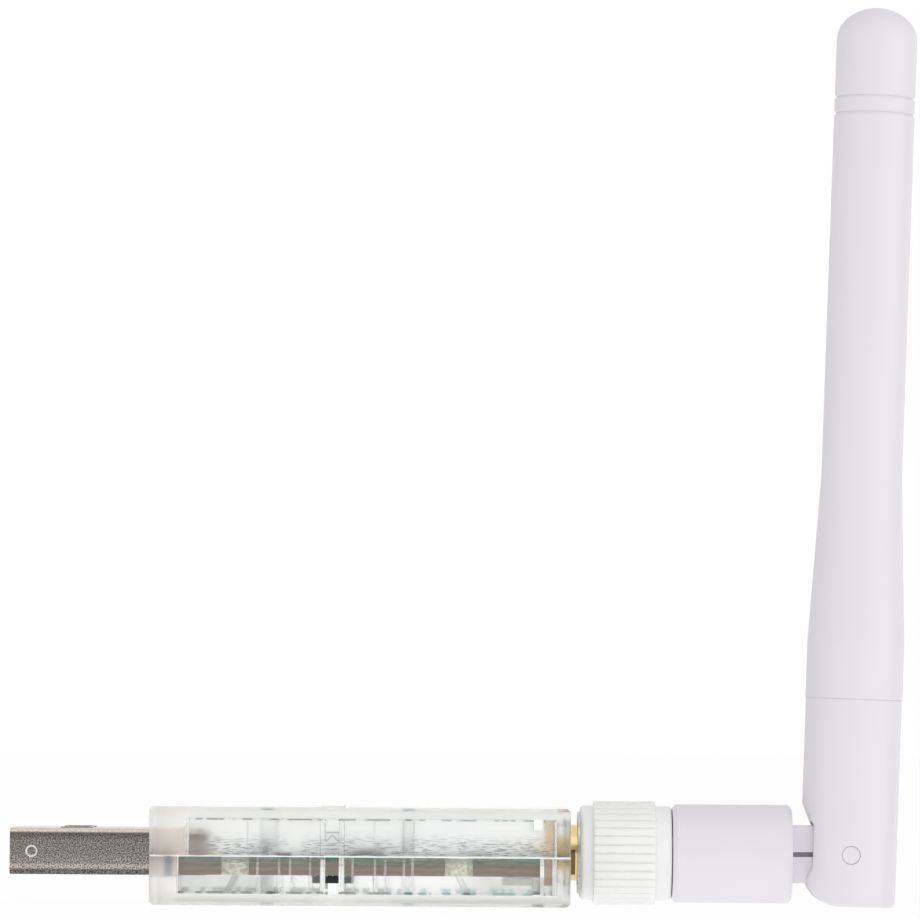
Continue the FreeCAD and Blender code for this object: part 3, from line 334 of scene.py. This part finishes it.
def plated(name, colour, pit_colour, pits, grain, roughness, depth, **sockets):
    """A plated metal with the shared pitted grain."""
    finish, tree, shader = new_finish(name, colour, roughness, 1.0, **sockets)
    surface = step(tree, "ShaderNodeGroup", node_tree=plating)
    for socket, value in (("Colour", colour), ("Pit Colour", pit_colour), ("Pits", pits),
                          ("Grain Size", grain), ("Roughness", roughness)):
        feed(tree, surface.inputs[socket], value)
    feed(tree, shader.inputs["Base Color"], surface.outputs["Colour"])
    feed(tree, shader.inputs["Roughness"], surface.outputs["Roughness"])
    relief = step(tree, "ShaderNodeBump", {"Height": surface.outputs["Height"], "Distance": depth})
    feed(tree, shader.inputs["Normal"], relief.outputs[0])
    return finish, tree, shader, surface, relief


nickel, tree, shader, surface, relief = plated("pitted_nickel", NICKEL, PIT, 0.5, 7500.0, 0.2, 0.000005)
axes = axes_of(tree)
seam = product(tree, calc(tree, "LESS_THAN", calc(tree, "ABSOLUTE", axes["Y"]), 0.00006),
               calc(tree, "LESS_THAN", axes["Z"], -0.0022))
# Painted reflection and shade: the base colour is darkened and lightened by height, standing in for the dark
# and light that the flat sides and the top fold reflect.
painted_light_level = 0.6
for low, high, change in PAINTED_REFLECTION_STEPS:
    painted_light_level = calc(tree, "ADD", painted_light_level, ramp(tree, axes["Z"], low, high, 0.0, change))
drawn = product(tree, ramp(tree, axes["Z"], 0.0017, 0.0018), DRAWN_SHARE)
smoother = tint(tree, drawn, surface.outputs["Colour"], DRAWN_EDGE)
reflection_painted = step(tree, "ShaderNodeVectorMath", {0: smoother, "Scale": painted_light_level}, operation="SCALE")
beside = step(tree, "ShaderNodeCombineXYZ", {0: axes["X"], 2: axes["Z"]}).outputs[0]
distance = step(tree, "ShaderNodeVectorMath", {0: beside, 1: DIMPLE_SPOT}, operation="DISTANCE")
# Painted highlight: a bright ring round the pressed dimple, with a slight rise in the bump.
rim = between(tree, distance.outputs["Value"], 0.00045, 0.00055, 0.00006)
rim_highlighted = tint(tree, rim, reflection_painted.outputs[0], DIMPLE_RIM_HIGHLIGHT)
feed(tree, shader.inputs["Base Color"], tint(tree, seam, rim_highlighted, SEAM_BLACK))
pressed = step(tree, "ShaderNodeBump", {"Height": rim, "Distance": RIM_RISE, "Normal": relief.outputs[0]})
feed(tree, shader.inputs["Normal"], pressed.outputs[0])
dress(nickel, "usb_shell")


moulding, given, result = new_group(
    "moulded_plastic",
    [("Colour", "Color", (0.8, 0.8, 0.8, 1)), ("Mottle", "Float", 0.03), ("Grain Size", "Float", 9000.0),
     ("Roughness", "Float", 0.5)],
    [("Colour", "Color"), ("Roughness", "Float"), ("Height", "Float")])
spot = step(moulding, "ShaderNodeTexCoord").outputs["Object"]
fine = step(moulding, "ShaderNodeTexNoise",
            {"Vector": spot, "Scale": given["Grain Size"], "Detail": 2.0}).outputs[0]
broad = step(moulding, "ShaderNodeTexNoise", {"Vector": spot, "Scale": 150.0, "Detail": 3.0}).outputs[0]
lift = product(moulding, calc(moulding, "SUBTRACT", broad, 0.5), given["Mottle"])
shade = calc(moulding, "ADD", lift, 1.0)
shaded = step(moulding, "ShaderNodeVectorMath", {0: given["Colour"], "Scale": shade}, operation="SCALE")
feed(moulding, result["Colour"], shaded.outputs[0])
uneven = product(moulding, calc(moulding, "SUBTRACT", broad, 0.5), 0.16)
feed(moulding, result["Roughness"], calc(moulding, "ADD", given["Roughness"], uneven, clamp=True))
feed(moulding, result["Height"], fine)


def moulded(name, colour, roughness, mottle, grain, depth, rounding=0.0, **sockets):
    """A moulded plastic with the shared fine grain, and edges that the tool left slightly round."""
    finish, tree, shader = new_finish(name, colour, roughness, **sockets)
    surface = step(tree, "ShaderNodeGroup", node_tree=moulding)
    for socket, value in (("Colour", colour), ("Mottle", mottle), ("Grain Size", grain),
                          ("Roughness", roughness)):
        feed(tree, surface.inputs[socket], value)
    feed(tree, shader.inputs["Base Color"], surface.outputs["Colour"])
    feed(tree, shader.inputs["Roughness"], surface.outputs["Roughness"])
    relief = step(tree, "ShaderNodeBump", {"Height": surface.outputs["Height"], "Distance": depth})
    if rounding:
        bevel = step(tree, "ShaderNodeBevel", {"Radius": rounding}, samples=4)
        feed(tree, relief.inputs["Normal"], bevel.outputs[0])
    feed(tree, shader.inputs["Normal"], relief.outputs[0])
    return finish, tree, shader, surface, relief


tongue = moulded("black_tongue", (0.035, 0.035, 0.04), 0.42, 0.3, 7000.0, 0.00001)[0]
dress(tongue, "usb_insulator")
GOLD, GOLD_SHADE = (0.80, 0.62, 0.29), (0.40, 0.29, 0.12)
gilt = plated("gilt_strip", GOLD, GOLD_SHADE, 0.15, 4000.0, 0.2, 0.000003)[0]
dress(gilt, "usb_contact_1", "usb_contact_2", "usb_contact_3", "usb_contact_4")


# The board: glass fibre laminate 1.6 mm thick, blue-green solder mask on both faces and a bare brown sawn
# edge. Copper tracks show through the mask.
MASK, MASK_TRACK = (0.05, 0.23, 0.21), (0.085, 0.33, 0.28)
MASK_SHADE, MASK_BLOOM, MASK_EDGE = (0.035, 0.2, 0.18), (0.07, 0.33, 0.26), (0.12, 0.27, 0.25)
SAWN_EDGE, FIBRE, BURNT = (0.215, 0.175, 0.125), (0.32, 0.28, 0.205), (0.08, 0.06, 0.04)
RESIN, RESIN_SHADE, LATCH_EDGE = (0.93, 0.91, 0.77), (0.64, 0.61, 0.49), (0.42, 0.39, 0.36)
BOARD_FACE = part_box("circuit_board")[1].z
BOARD_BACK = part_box("circuit_board")[0].z
BOARD_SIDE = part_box("circuit_board")[1].y
LATCH = 0.0177

board, tree, shader = new_finish("masked_board", MASK, 0.5, Specular_IOR_Level=0.0)
place = step(tree, "ShaderNodeTexCoord").outputs["Object"]
axes, faces = axes_of(tree), axes_of(tree, "Normal")
flat = calc(tree, "GREATER_THAN", calc(tree, "ABSOLUTE", faces["Z"]), 0.5)
layers = step(tree, "ShaderNodeTexWave", {"Vector": place, "Scale": 520.0, "Distortion": 3.0, "Detail": 3.0,
                                          "Detail Scale": 2.0}, bands_direction="Z").outputs[1]
weave = step(tree, "ShaderNodeTexNoise", {"Vector": place, "Scale": 2600.0, "Detail": 3.0}).outputs[0]
sawn = tint(tree, product(tree, layers, 0.6), SAWN_EDGE, FIBRE)
sawn = tint(tree, product(tree, weave, 0.35), sawn, BURNT)
in_notch = product(tree, calc(tree, "GREATER_THAN", calc(tree, "ABSOLUTE", faces["Y"]), 0.5),
                   calc(tree, "LESS_THAN", calc(tree, "ABSOLUTE", axes["Y"]), BOARD_SIDE - 0.0005))
resin = tint(tree, ramp(tree, weave, 0.42, 0.58), RESIN, RESIN_SHADE)
sawn = tint(tree, in_notch, sawn, resin)
by_window = between(tree, axes["X"], LATCH - 0.0006, LATCH + 0.0006, 0.0001)
sawn = tint(tree, product(tree, by_window, 0.6), sawn, LATCH_EDGE)
overrun = product(tree, ramp(tree, axes["Z"], BOARD_FACE - 0.0005, BOARD_FACE - 0.0001), 0.6)
sawn = tint(tree, overrun, sawn, MASK_EDGE)
cloth = tint(tree, product(tree, weave, 0.25), MASK, MASK_SHADE)
feed(tree, shader.inputs["Base Color"], tint(tree, flat, sawn, cloth))
feed(tree, shader.inputs["Roughness"], calc(tree, "MULTIPLY_ADD", flat, -0.45, 0.72))
relief = step(tree, "ShaderNodeBump", {"Height": weave, "Distance": 0.00001})
feed(tree, shader.inputs["Normal"], relief.outputs[0])
dress(board, "circuit_board")


# The case's matt faces: where the mould was left rough, at the slot round the plug, the latch's guides,
# narrow grip lines and the rear, the clear plastic looks white. A white strip along the line where the halves
# meet is a painted highlight, standing in for the seam's glint.
MM = 0.001
MATT, MATT_PINK, MATT_PAINTED_SHADE = (0.97, 0.965, 0.945), (0.96, 0.87, 0.80), (0.40, 0.44, 0.53)
GRIP_LINES = (0.01048, 0.01257, 0.01363, 0.01553, 0.01968, 0.02182, 0.02282, 0.02463, 0.02547)
# Each rear band: its start and end along the case, its lower and its upper edge
REAR_BANDS = [(0.0378, 0.0382, -0.0039, -0.0004), (0.039, 0.0393, -0.0039, -0.0004)]
SEAM_LINE = [(0.06, 6.6), (0.06, 8.2), (0.22, 8.64), (0.5, 8.88), (0.95, 8.95), (39.8, 8.95), (40.25, 8.88),
             (40.53, 8.64), (40.69, 8.2), (40.69, 3.3)]


def new_piece(name, mesh_maker, body, finish):
    """Puts a bmesh into the scene as a piece that rides on a body."""
    mesh = bpy.data.meshes.new(name)
    mesh_maker.to_mesh(mesh)
    mesh_maker.free()
    piece = bpy.data.objects.new(name, mesh)
    bpy.context.scene.collection.objects.link(piece)
    mesh.materials.append(finish)
    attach(piece, body)
    return piece


def track(work, points, width, level, thick):
    """A flat strip through points given in millimetres, mitred at its bends."""
    run = [Vector((x, y)) * MM for x, y in points]
    rows = []
    for place, spot in enumerate(run):
        before = (spot - run[place - 1]).normalized() if place else (run[1] - run[0]).normalized()
        after = (run[place + 1] - spot).normalized() if place < len(run) - 1 else before
        mitre = (before + after).normalized()
        out = Vector((-mitre.y, mitre.x)) * (width * MM / 2) / max(0.5, mitre.dot(before))
        corners = [(spot + out, level), (spot - out, level), (spot - out * 0.8, level + thick),
                   (spot + out * 0.8, level + thick)]
        rows.append([work.verts.new((at.x, at.y, z)) for at, z in corners])
    for near, far in zip(rows, rows[1:]):
        for turn in range(4):
            work.faces.new((near[turn], near[(turn + 1) % 4], far[(turn + 1) % 4], far[turn]))
    work.faces.new(rows[0])
    work.faces.new(rows[-1])


def plate(work, low, high):
    """A thin box between two corners."""
    for vertex in bmesh.ops.create_cube(work, size=1)["verts"]:
        for axis in range(3):
            vertex.co[axis] = (low, high)[vertex.co[axis] > 0][axis]


work = bmesh.new()
for side in (-1, 1):
    near, far = sorted((side * 0.00602, side * 0.00604))
    plate(work, (0.00005, near, -0.0023), (0.00257, far, 0.0023))
    plate(work, (0.00257, near, -0.00028), (0.00347, far, 0.0023))
    near, far = sorted((side * 0.00744, side * 0.00747))
    for start in (LATCH - 0.00115, LATCH + 0.00065):
        plate(work, (start, near, -0.0038), (start + 0.0005, far, PARTING - 0.0001))
    near, far = sorted((side * 0.00786, side * 0.00788))
    for middle in GRIP_LINES:
        plate(work, (middle - 0.00012, near, -0.0038), (middle + 0.00012, far, PARTING - 0.0001))
    for start, end, low, high in REAR_BANDS:
        plate(work, (start, near, low), (end, far, high))
for level in (-0.00232, 0.00229):
    plate(work, (0.00005, -0.006, level), (0.00257, 0.006, level + 0.00003))
# Painted highlight: a white strip in the groove where the halves meet, standing in for the seam's bright
# glint.
for side in (-1, 1):
    track(work, [(x, side * y) for x, y in SEAM_LINE], 0.08, PARTING - 0.00006, 0.00012)
matt_faces, tree, shader = new_finish("matt_mould_texture", MATT, 0.6)
place = step(tree, "ShaderNodeTexCoord").outputs["Object"]
axes = step(tree, "ShaderNodeSeparateXYZ", {0: place}).outputs
upright = step(tree, "ShaderNodeMapping", {"Vector": place, "Scale": (1, 1, 0.06)}).outputs[0]
stripe = step(tree, "ShaderNodeTexNoise", {"Vector": upright, "Scale": 1500.0, "Detail": 2.0}).outputs[0]
near_front = product(tree, ramp(tree, stripe, 0.6, 0.4), ramp(tree, axes["X"], 0.01, 0.004))
streaky = tint(tree, near_front, MATT, MATT_PINK)
# Painted shade: a dark bluish patch low down near the front, where the plug's end shows through the frosted
# face.
plug_end_shade = product(tree, between(tree, axes["X"], 0.0015, 0.0021, 0.0002),
               calc(tree, "LESS_THAN", axes["Z"], -0.0003))
feed(tree, shader.inputs["Base Color"], tint(tree, plug_end_shade, streaky, MATT_PAINTED_SHADE))
outermost = between(tree, calc(tree, "ABSOLUTE", axes["Y"]), 0.00785, 0.0079, 0.00001)
faint = product(tree, outermost, calc(tree, "LESS_THAN", axes["X"], 0.03))
upper_cover = ramp(tree, axes["X"], 0.004, 0.01, 0.86, 1.0)
lower_cover = ramp(tree, axes["Z"], -0.0002, -0.0004, 0.0, 0.98)
cover = product(tree, calc(tree, "MAXIMUM", upper_cover, lower_cover), ramp(tree, faint, 0.0, 1.0, 1.0, 0.2))
feed(tree, shader.inputs["Alpha"], cover)
new_piece("matt_faces", work, "stick", matt_faces)


# The copper and the solder: tracks 0.02 mm proud under the mask on both faces, and rounded tin joints at
# every lead, contact and leg. Points and widths of the tracks are in millimetres.
TOP_TRACKS = [
    ([(8.4, -3.5), (9.6, -3.5), (10.4, -2.7), (11.6, -2.7)], 0.5),
    ([(8.4, -1.0), (11.6, -1.0), (13.0, 0.2), (19.2, 0.2)], 0.25),
    ([(8.4, 1.0), (11.0, 1.0), (12.0, 1.7), (17.6, 1.7), (18.4, 0.9), (19.4, 0.9)], 0.25),
    ([(8.4, 3.5), (9.8, 3.5), (10.4, 3.0), (13.6, 3.0), (14.4, 3.8), (16.6, 3.8)], 0.5),
    ([(13.8, -3.0), (17.2, -3.0), (18.6, -1.6), (19.4, -1.6)], 0.3),
    ([(13.8, -4.4), (20.4, -4.4), (21.0, -3.8), (21.0, -1.6)], 0.3),
    ([(22.8, 0.0), (24.6, 0.0), (25.2, -0.6), (29.0, -0.6), (29.6, 0.0), (35.6, 0.0)], 0.4),
    ([(22.8, 0.9), (24.0, 0.9), (24.6, 1.5), (27.6, 1.5), (28.2, 2.1), (30.4, 2.1), (31.0, 1.5),
      (33.4, 1.5)], 0.2),
    ([(22.8, -1.0), (23.6, -1.8), (25.2, -1.8)], 0.2),
    ([(21.4, 2.7), (21.4, 4.2), (22.2, 5.0), (26.0, 5.0), (27.0, 4.0), (28.6, 4.0)], 0.25),
    ([(17.7, 4.6), (17.7, 3.4), (16.6, 2.3), (16.6, 1.6)], 0.25),
    ([(31.6, -1.2), (31.6, -4.4), (30.8, -5.2), (27.4, -5.2)], 0.25),
    ([(33.2, -2.6), (33.2, -5.6), (31.4, -6.2), (23.2, -6.2), (22.2, -5.4)], 0.3),
    ([(33.2, 2.6), (33.2, 5.6), (31.4, 6.2), (23.2, 6.2), (22.6, 5.8)], 0.3),
]
UNDER_TRACKS = [
    ([(9.0, -4.5), (14.0, -4.5), (15.4, -3.1), (16.0, -3.1)], 0.4),
    ([(9.0, -2.0), (13.4, -2.0), (14.2, -1.2), (15.6, -1.2)], 0.25),
    ([(9.0, 2.0), (13.0, 2.0), (15.0, 0.0), (15.6, 0.0)], 0.25),
    ([(19.8, -2.4), (22.0, -2.4), (23.4, -1.0), (29.0, -1.0), (30.0, -2.0), (33.0, -2.0)], 0.25),
    ([(19.8, -0.6), (21.4, -0.6), (23.4, 1.4), (30.0, 1.4), (31.4, 2.8), (33.0, 2.8)], 0.25),
    ([(17.0, 0.7), (17.0, 2.6), (18.4, 4.0), (27.0, 4.0), (28.4, 5.4), (34.0, 5.4)], 0.3),
    ([(18.4, -3.7), (18.4, -4.8), (19.6, -6.0), (34.0, -6.0)], 0.35),
]
TRACK_THICK = 0.00002

work = bmesh.new()
for points, width in TOP_TRACKS:
    track(work, points, width, BOARD_FACE, TRACK_THICK)
for points, width in UNDER_TRACKS:
    track(work, points, width, BOARD_BACK, -TRACK_THICK)
masked_copper, tree, shader = new_finish("masked_copper", MASK_TRACK, 0.5, Specular_IOR_Level=0.0)
spot = step(tree, "ShaderNodeTexCoord").outputs["Object"]
bloom = step(tree, "ShaderNodeTexNoise", {"Vector": spot, "Scale": 900.0, "Detail": 3.0}).outputs[0]
feed(tree, shader.inputs["Base Color"], tint(tree, bloom, MASK_TRACK, MASK_BLOOM))
new_piece("board_tracks", work, "stick", masked_copper)


def mound(work, centre, size, rise):
    """A solder joint: a rounded mound on a pad. A negative rise hangs it below the board."""
    rings = []
    for lift, share in ((0.0, 1.0), (0.08, 1.0), (0.45, 0.86), (0.8, 0.67), (1.0, 0.33)):
        ring = []
        for turn in range(12):
            angle = math.tau * turn / 12
            reach = 1 / max(abs(math.cos(angle)), abs(math.sin(angle))) ** 0.6
            x = centre[0] + size[0] / 2 * share * math.cos(angle) * reach
            y = centre[1] + size[1] / 2 * share * math.sin(angle) * reach
            ring.append(work.verts.new((x, y, centre[2] + rise * lift)))
        rings.append(ring)
    for low, high in zip(rings, rings[1:]):
        for turn in range(12):
            far = (turn + 1) % 12
            work.faces.new((low[turn], low[far], high[far], high[turn]))
    work.faces.new(rings[-1])


def row_of_joints(work, start, end, count, size, rise):
    """Equal solder joints on the line between two points."""
    for place in range(count):
        share = place / max(1, count - 1)
        mound(work, [a + (b - a) * share for a, b in zip(start, end)], size, rise)


def joints_round(work, name, per_side, across, size, rise, level):
    """Solder joints along two or four sides of a packaged part."""
    low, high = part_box(name)
    inset = size[0] * 0.9
    for y in (low.y - size[1] * 0.3, high.y + size[1] * 0.3):
        row_of_joints(work, (low.x + inset, y, level), (high.x - inset, y, level), per_side, size, rise)
    for x in (low.x - size[1] * 0.3, high.x + size[1] * 0.3) if across else ():
        turned = (size[1], size[0])
        row_of_joints(work, (x, low.y + inset, level), (x, high.y - inset, level), per_side, turned, rise)


work = bmesh.new()
joints_round(work, "radio_chip", 6, True, (0.00026, 0.0005), 0.00016, BOARD_FACE)
joints_round(work, "usb_bridge_chip", 7, True, (0.00026, 0.0006), -0.00018, BOARD_BACK)
joints_round(work, "crystal", 2, False, (0.0009, 0.0006), 0.00018, BOARD_FACE)
joints_round(work, "rf_filter", 3, False, (0.0004, 0.0005), 0.00016, BOARD_FACE)
low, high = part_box("voltage_regulator")
for x, count in ((high.x + 0.0003, 3), (low.x - 0.0003, 2)):
    row_of_joints(work, (x, low.y + 0.0005, BOARD_FACE), (x, high.y - 0.0005, BOARD_FACE), count,
                  (0.0007, 0.00045), 0.0002)
for name in ("bulk_capacitor", "indicator_led"):
    low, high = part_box(name)
    middle = (low.x + high.x) / 2
    row_of_joints(work, (middle, low.y - 0.00015, BOARD_FACE), (middle, high.y + 0.00015, BOARD_FACE), 2,
                  (high.x - low.x, 0.0006), 0.0003)
for name in ("usb_contact_1", "usb_contact_2", "usb_contact_3", "usb_contact_4"):
    low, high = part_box(name)
    mound(work, (high.x, (low.y + high.y) / 2, BOARD_FACE), (0.0018, 0.0014), 0.00028)
for side in (-1, 1):
    for level, rise in ((BOARD_FACE, 0.00035), (BOARD_BACK, -0.00035)):
        mound(work, (0.0361, side * 0.0026, level), (0.0040, 0.0016), rise)
mound(work, (0.0368, 0, BOARD_FACE), (0.0018, 0.0012), 0.0004)
solder = plated("tin_solder", (0.70, 0.70, 0.69), (0.35, 0.35, 0.34), 0.2, 2500.0, 0.28, 0.00001)[0]
joints = new_piece("solder_joints", work, "stick", solder)
for face in joints.data.polygons:
    face.use_smooth = True


# The parts on the board: black moulded chips, brown ceramic capacitors with tinned ends, black resistors,
# a tin-lidded crystal and a small lamp with a milky lens.
black = moulded("black_package", (0.032, 0.028, 0.042), 0.5, 0.25, 6000.0, 0.00001)[0]
dress(black, "radio_chip", "usb_bridge_chip", "voltage_regulator")


def tinned_block(name, colour, ends, *dressed):
    """A ceramic block whose ends are dipped in tin, for parts that repeat along the board."""
    finish, tree, shader = new_finish(name, colour, 0.45)
    spot = step(tree, "ShaderNodeTexCoord").outputs["Object"]
    mottle = step(tree, "ShaderNodeTexNoise", {"Vector": spot, "Scale": 3000.0, "Detail": 4.0}).outputs[0]
    darker = tuple(value * 0.6 for value in colour)
    feed(tree, shader.inputs["Base Color"], tint(tree, mottle, colour, darker))
    relief = step(tree, "ShaderNodeBump", {"Height": mottle, "Distance": 0.00001})
    feed(tree, shader.inputs["Normal"], relief.outputs[0])
    dress(finish, *dressed)
    if not ends:
        return
    work = bmesh.new()
    for node in dressed:
        for low, high in loose_boxes(parts[node].data):
            along_x = high.x - low.x >= high.y - low.y
            for end in (0, 1):
                a, b = low.copy(), high.copy()
                if along_x:
                    a.x, b.x = (low.x, low.x + 0.00022) if end == 0 else (high.x - 0.00022, high.x)
                else:
                    a.y, b.y = (low.y, low.y + 0.0003) if end == 0 else (high.y - 0.0003, high.y)
                cap(work, a, b)
    new_piece(name + "_ends", work, "stick", solder)


def loose_boxes(mesh):
    """The lowest and highest corner of each separate block in a mesh."""
    corners = [vertex.co.copy() for vertex in mesh.vertices]
    group = {}
    for face in mesh.polygons:
        for vertex in face.vertices:
            group.setdefault(tuple(round(value * 1e6) for value in corners[vertex]), set()).add(face.index)
    owner = list(range(len(mesh.polygons)))

    def root(place):
        while owner[place] != place:
            place = owner[place]
        return place

    for faces in group.values():
        first = root(min(faces))
        for face in faces:
            owner[root(face)] = first
    found = {}
    for face in mesh.polygons:
        found.setdefault(root(face.index), []).extend(corners[vertex] for vertex in face.vertices)
    return [(Vector(map(min, *points)), Vector(map(max, *points))) for points in found.values()]


def cap(work, low, high, proud=0.000012):
    """A thin tin cap that wraps one end of a block, with its edges broken."""
    made = bmesh.ops.create_cube(work, size=1)["verts"]
    for vertex in made:
        for axis in range(3):
            middle, half = (low[axis] + high[axis]) / 2, (high[axis] - low[axis]) / 2 + proud
            vertex.co[axis] = middle + math.copysign(half, vertex.co[axis])
        vertex.co.z = max(vertex.co.z, low.z)
    around = {edge for vertex in made for edge in vertex.link_edges}
    bmesh.ops.bevel(work, geom=list(around), offset=0.00003, segments=1, affect="EDGES")


tinned_block("brown_ceramic", (0.36, 0.27, 0.19), True, "capacitors", "bulk_capacitor")
tinned_block("black_glaze", (0.035, 0.035, 0.04), True, "resistors")
tinned_block("filter_ceramic", (0.5, 0.47, 0.42), False, "rf_filter")
lid = plated("tin_lid", (0.72, 0.71, 0.68), (0.4, 0.4, 0.38), 0.2, 3000.0, 0.3, 0.000005)[0]
dress(lid, "crystal")
lens = moulded("milky_lens", (0.85, 0.84, 0.70), 0.2, 0.05, 5000.0, 0.000003, Coat_Weight=0.5)[0]
dress(lens, "indicator_led")


# The jack: turned brass plated with gold, a fine right-hand thread rolled on its barrel, and a milky
# insulator round a split centre contact.
AXIS_LEVEL = (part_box("nut_sleeve")[0].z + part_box("nut_sleeve")[1].z) / 2
THREAD_PITCH = 0.0254 / 36
CASED_GOLD, CASED_GOLD_PAINTED_SHADE = (0.70, 0.54, 0.36), (0.50, 0.35, 0.24)
FLAT_PAINTED_SHADE, TINNED = (0.16, 0.13, 0.06), (0.72, 0.71, 0.70)


def thread_height(tree, first, last, radius_low, radius_high):
    """A rolled thread's height where a surface lies between two radii and two places along the axis."""
    axes = axes_of(tree)
    rise = calc(tree, "SUBTRACT", axes["Z"], AXIS_LEVEL)
    angle = calc(tree, "DIVIDE", calc(tree, "ARCTAN2", rise, axes["Y"]), math.tau)
    turns = calc(tree, "SUBTRACT", calc(tree, "DIVIDE", axes["X"], THREAD_PITCH), angle)
    ridge = calc(tree, "PINGPONG", turns, 0.5)
    squares = calc(tree, "ADD", product(tree, rise, rise), product(tree, axes["Y"], axes["Y"]))
    radius = calc(tree, "SQRT", squares)
    return product(tree, ridge, calc(tree, "GREATER_THAN", axes["X"], first),
                   calc(tree, "LESS_THAN", axes["X"], last),
                   calc(tree, "GREATER_THAN", radius, radius_low),
                   calc(tree, "LESS_THAN", radius, radius_high))


gold, tree, shader, surface, relief = plated("rolled_gold", GOLD, GOLD_SHADE, 0.1, 3000.0, 0.16, 0.000003)
ridge = thread_height(tree, 0.0421, 0.0471, 0.00305, 0.0032)
rolled = step(tree, "ShaderNodeBump", {"Height": ridge, "Distance": 0.0005, "Normal": relief.outputs[0]})
feed(tree, shader.inputs["Normal"], rolled.outputs[0])
axes = axes_of(tree)
wetted = ramp(tree, axes["X"], 0.0383, 0.0379)
# Painted shade: inside the case the gold turns darker below the axis.
shaded_gold = tint(tree, ramp(tree, axes["Z"], 0.0004, -0.0004), CASED_GOLD, CASED_GOLD_PAINTED_SHADE)
# Painted shade: a dark patch on the collar's flat, standing in for the dark that it reflects.
flat_side = product(tree, between(tree, axes["X"], 0.0409, 0.0413, 0.00003),
                    between(tree, axes["Z"], -0.0020, 0.0004, 0.00005))
bright_gold = tint(tree, flat_side, surface.outputs["Colour"], FLAT_PAINTED_SHADE)
flange = tint(tree, ramp(tree, axes["X"], 0.0395, 0.0393), bright_gold, shaded_gold)
feed(tree, shader.inputs["Base Color"], tint(tree, wetted, flange, TINNED))
dress(gold, "jack_body")
dress(gilt, "jack_contact", "plug_pin")
milky = moulded("milky_insulator", (0.86, 0.85, 0.82), 0.4, 0.04, 5000.0, 0.000004, Subsurface_Weight=0.1,
                Subsurface_Scale=0.0005)[0]
dress(milky, "jack_dielectric", "plug_dielectric")


# The coupling nut: a warm white sleeve with a straight knurl, moulded round a nickel-plated threaded
# ring whose dark rim shows at the mouth. A spring ring holds the nut on the antenna's ferrule.
nut_white = moulded("satin_nut_white", (0.962, 0.957, 0.925), 0.42, 0.03, 12000.0, 0.000005, 0.00012,
                     Subsurface_Weight=1.0, Subsurface_Radius=(1, 1, 1), Subsurface_Scale=0.0005)[0]
dress(nut_white, "nut_sleeve")
dull_nickel, tree, shader, surface, relief = plated(
    "dull_nickel", (0.62, 0.61, 0.59), (0.30, 0.29, 0.28), 0.3, 4000.0, 0.32, 0.000005)
ridge = thread_height(tree, 0.0417, 0.0488, 0.0031, 0.0032)
rolled = step(tree, "ShaderNodeBump", {"Height": ridge, "Distance": 0.0005, "Normal": relief.outputs[0]})
feed(tree, shader.inputs["Normal"], rolled.outputs[0])
dress(dull_nickel, "nut_insert")
ferrule = plated("bright_nickel", (0.66, 0.64, 0.60), (0.36, 0.34, 0.31), 0.15, 3500.0, 0.24, 0.000004)[0]
dress(ferrule, "plug_ferrule")
spring = plated("spring_bronze", (0.66, 0.5, 0.3), (0.3, 0.2, 0.1), 0.2, 3500.0, 0.3, 0.000004)[0]
dress(spring, "retaining_ring")
rubber = moulded("black_rubber", (0.03, 0.03, 0.03), 0.7, 0.3, 5000.0, 0.00001)[0]
dress(rubber, "seal_ring")


# The antenna: a swivel barrel, a forked base and a tapered sleeve in cool white moulded plastic with a
# satin skin, round a thin pale grey cable that ends in a brass tube and a bare wire.
mast_white = moulded("satin_mast_white", (0.80, 0.775, 0.825), 0.4, 0.025, 12000.0, 0.000005, 0.00012)[0]
dress(mast_white, "swivel_barrel", "antenna_base", "antenna_sleeve", "hinge_pin")
jacket = moulded("cable_jacket", (0.66, 0.635, 0.68), 0.5, 0.1, 5000.0, 0.000008)[0]
dress(jacket, "cable_in_barrel", "cable_in_mast")
brass = plated("drawn_brass", (0.72, 0.52, 0.24), (0.36, 0.25, 0.1), 0.2, 3500.0, 0.28, 0.000004)[0]
dress(brass, "dipole_tube")
copper = plated("tinned_copper", (0.72, 0.5, 0.36), (0.36, 0.22, 0.14), 0.2, 3500.0, 0.3, 0.000004)[0]
dress(copper, "radiator_wire")
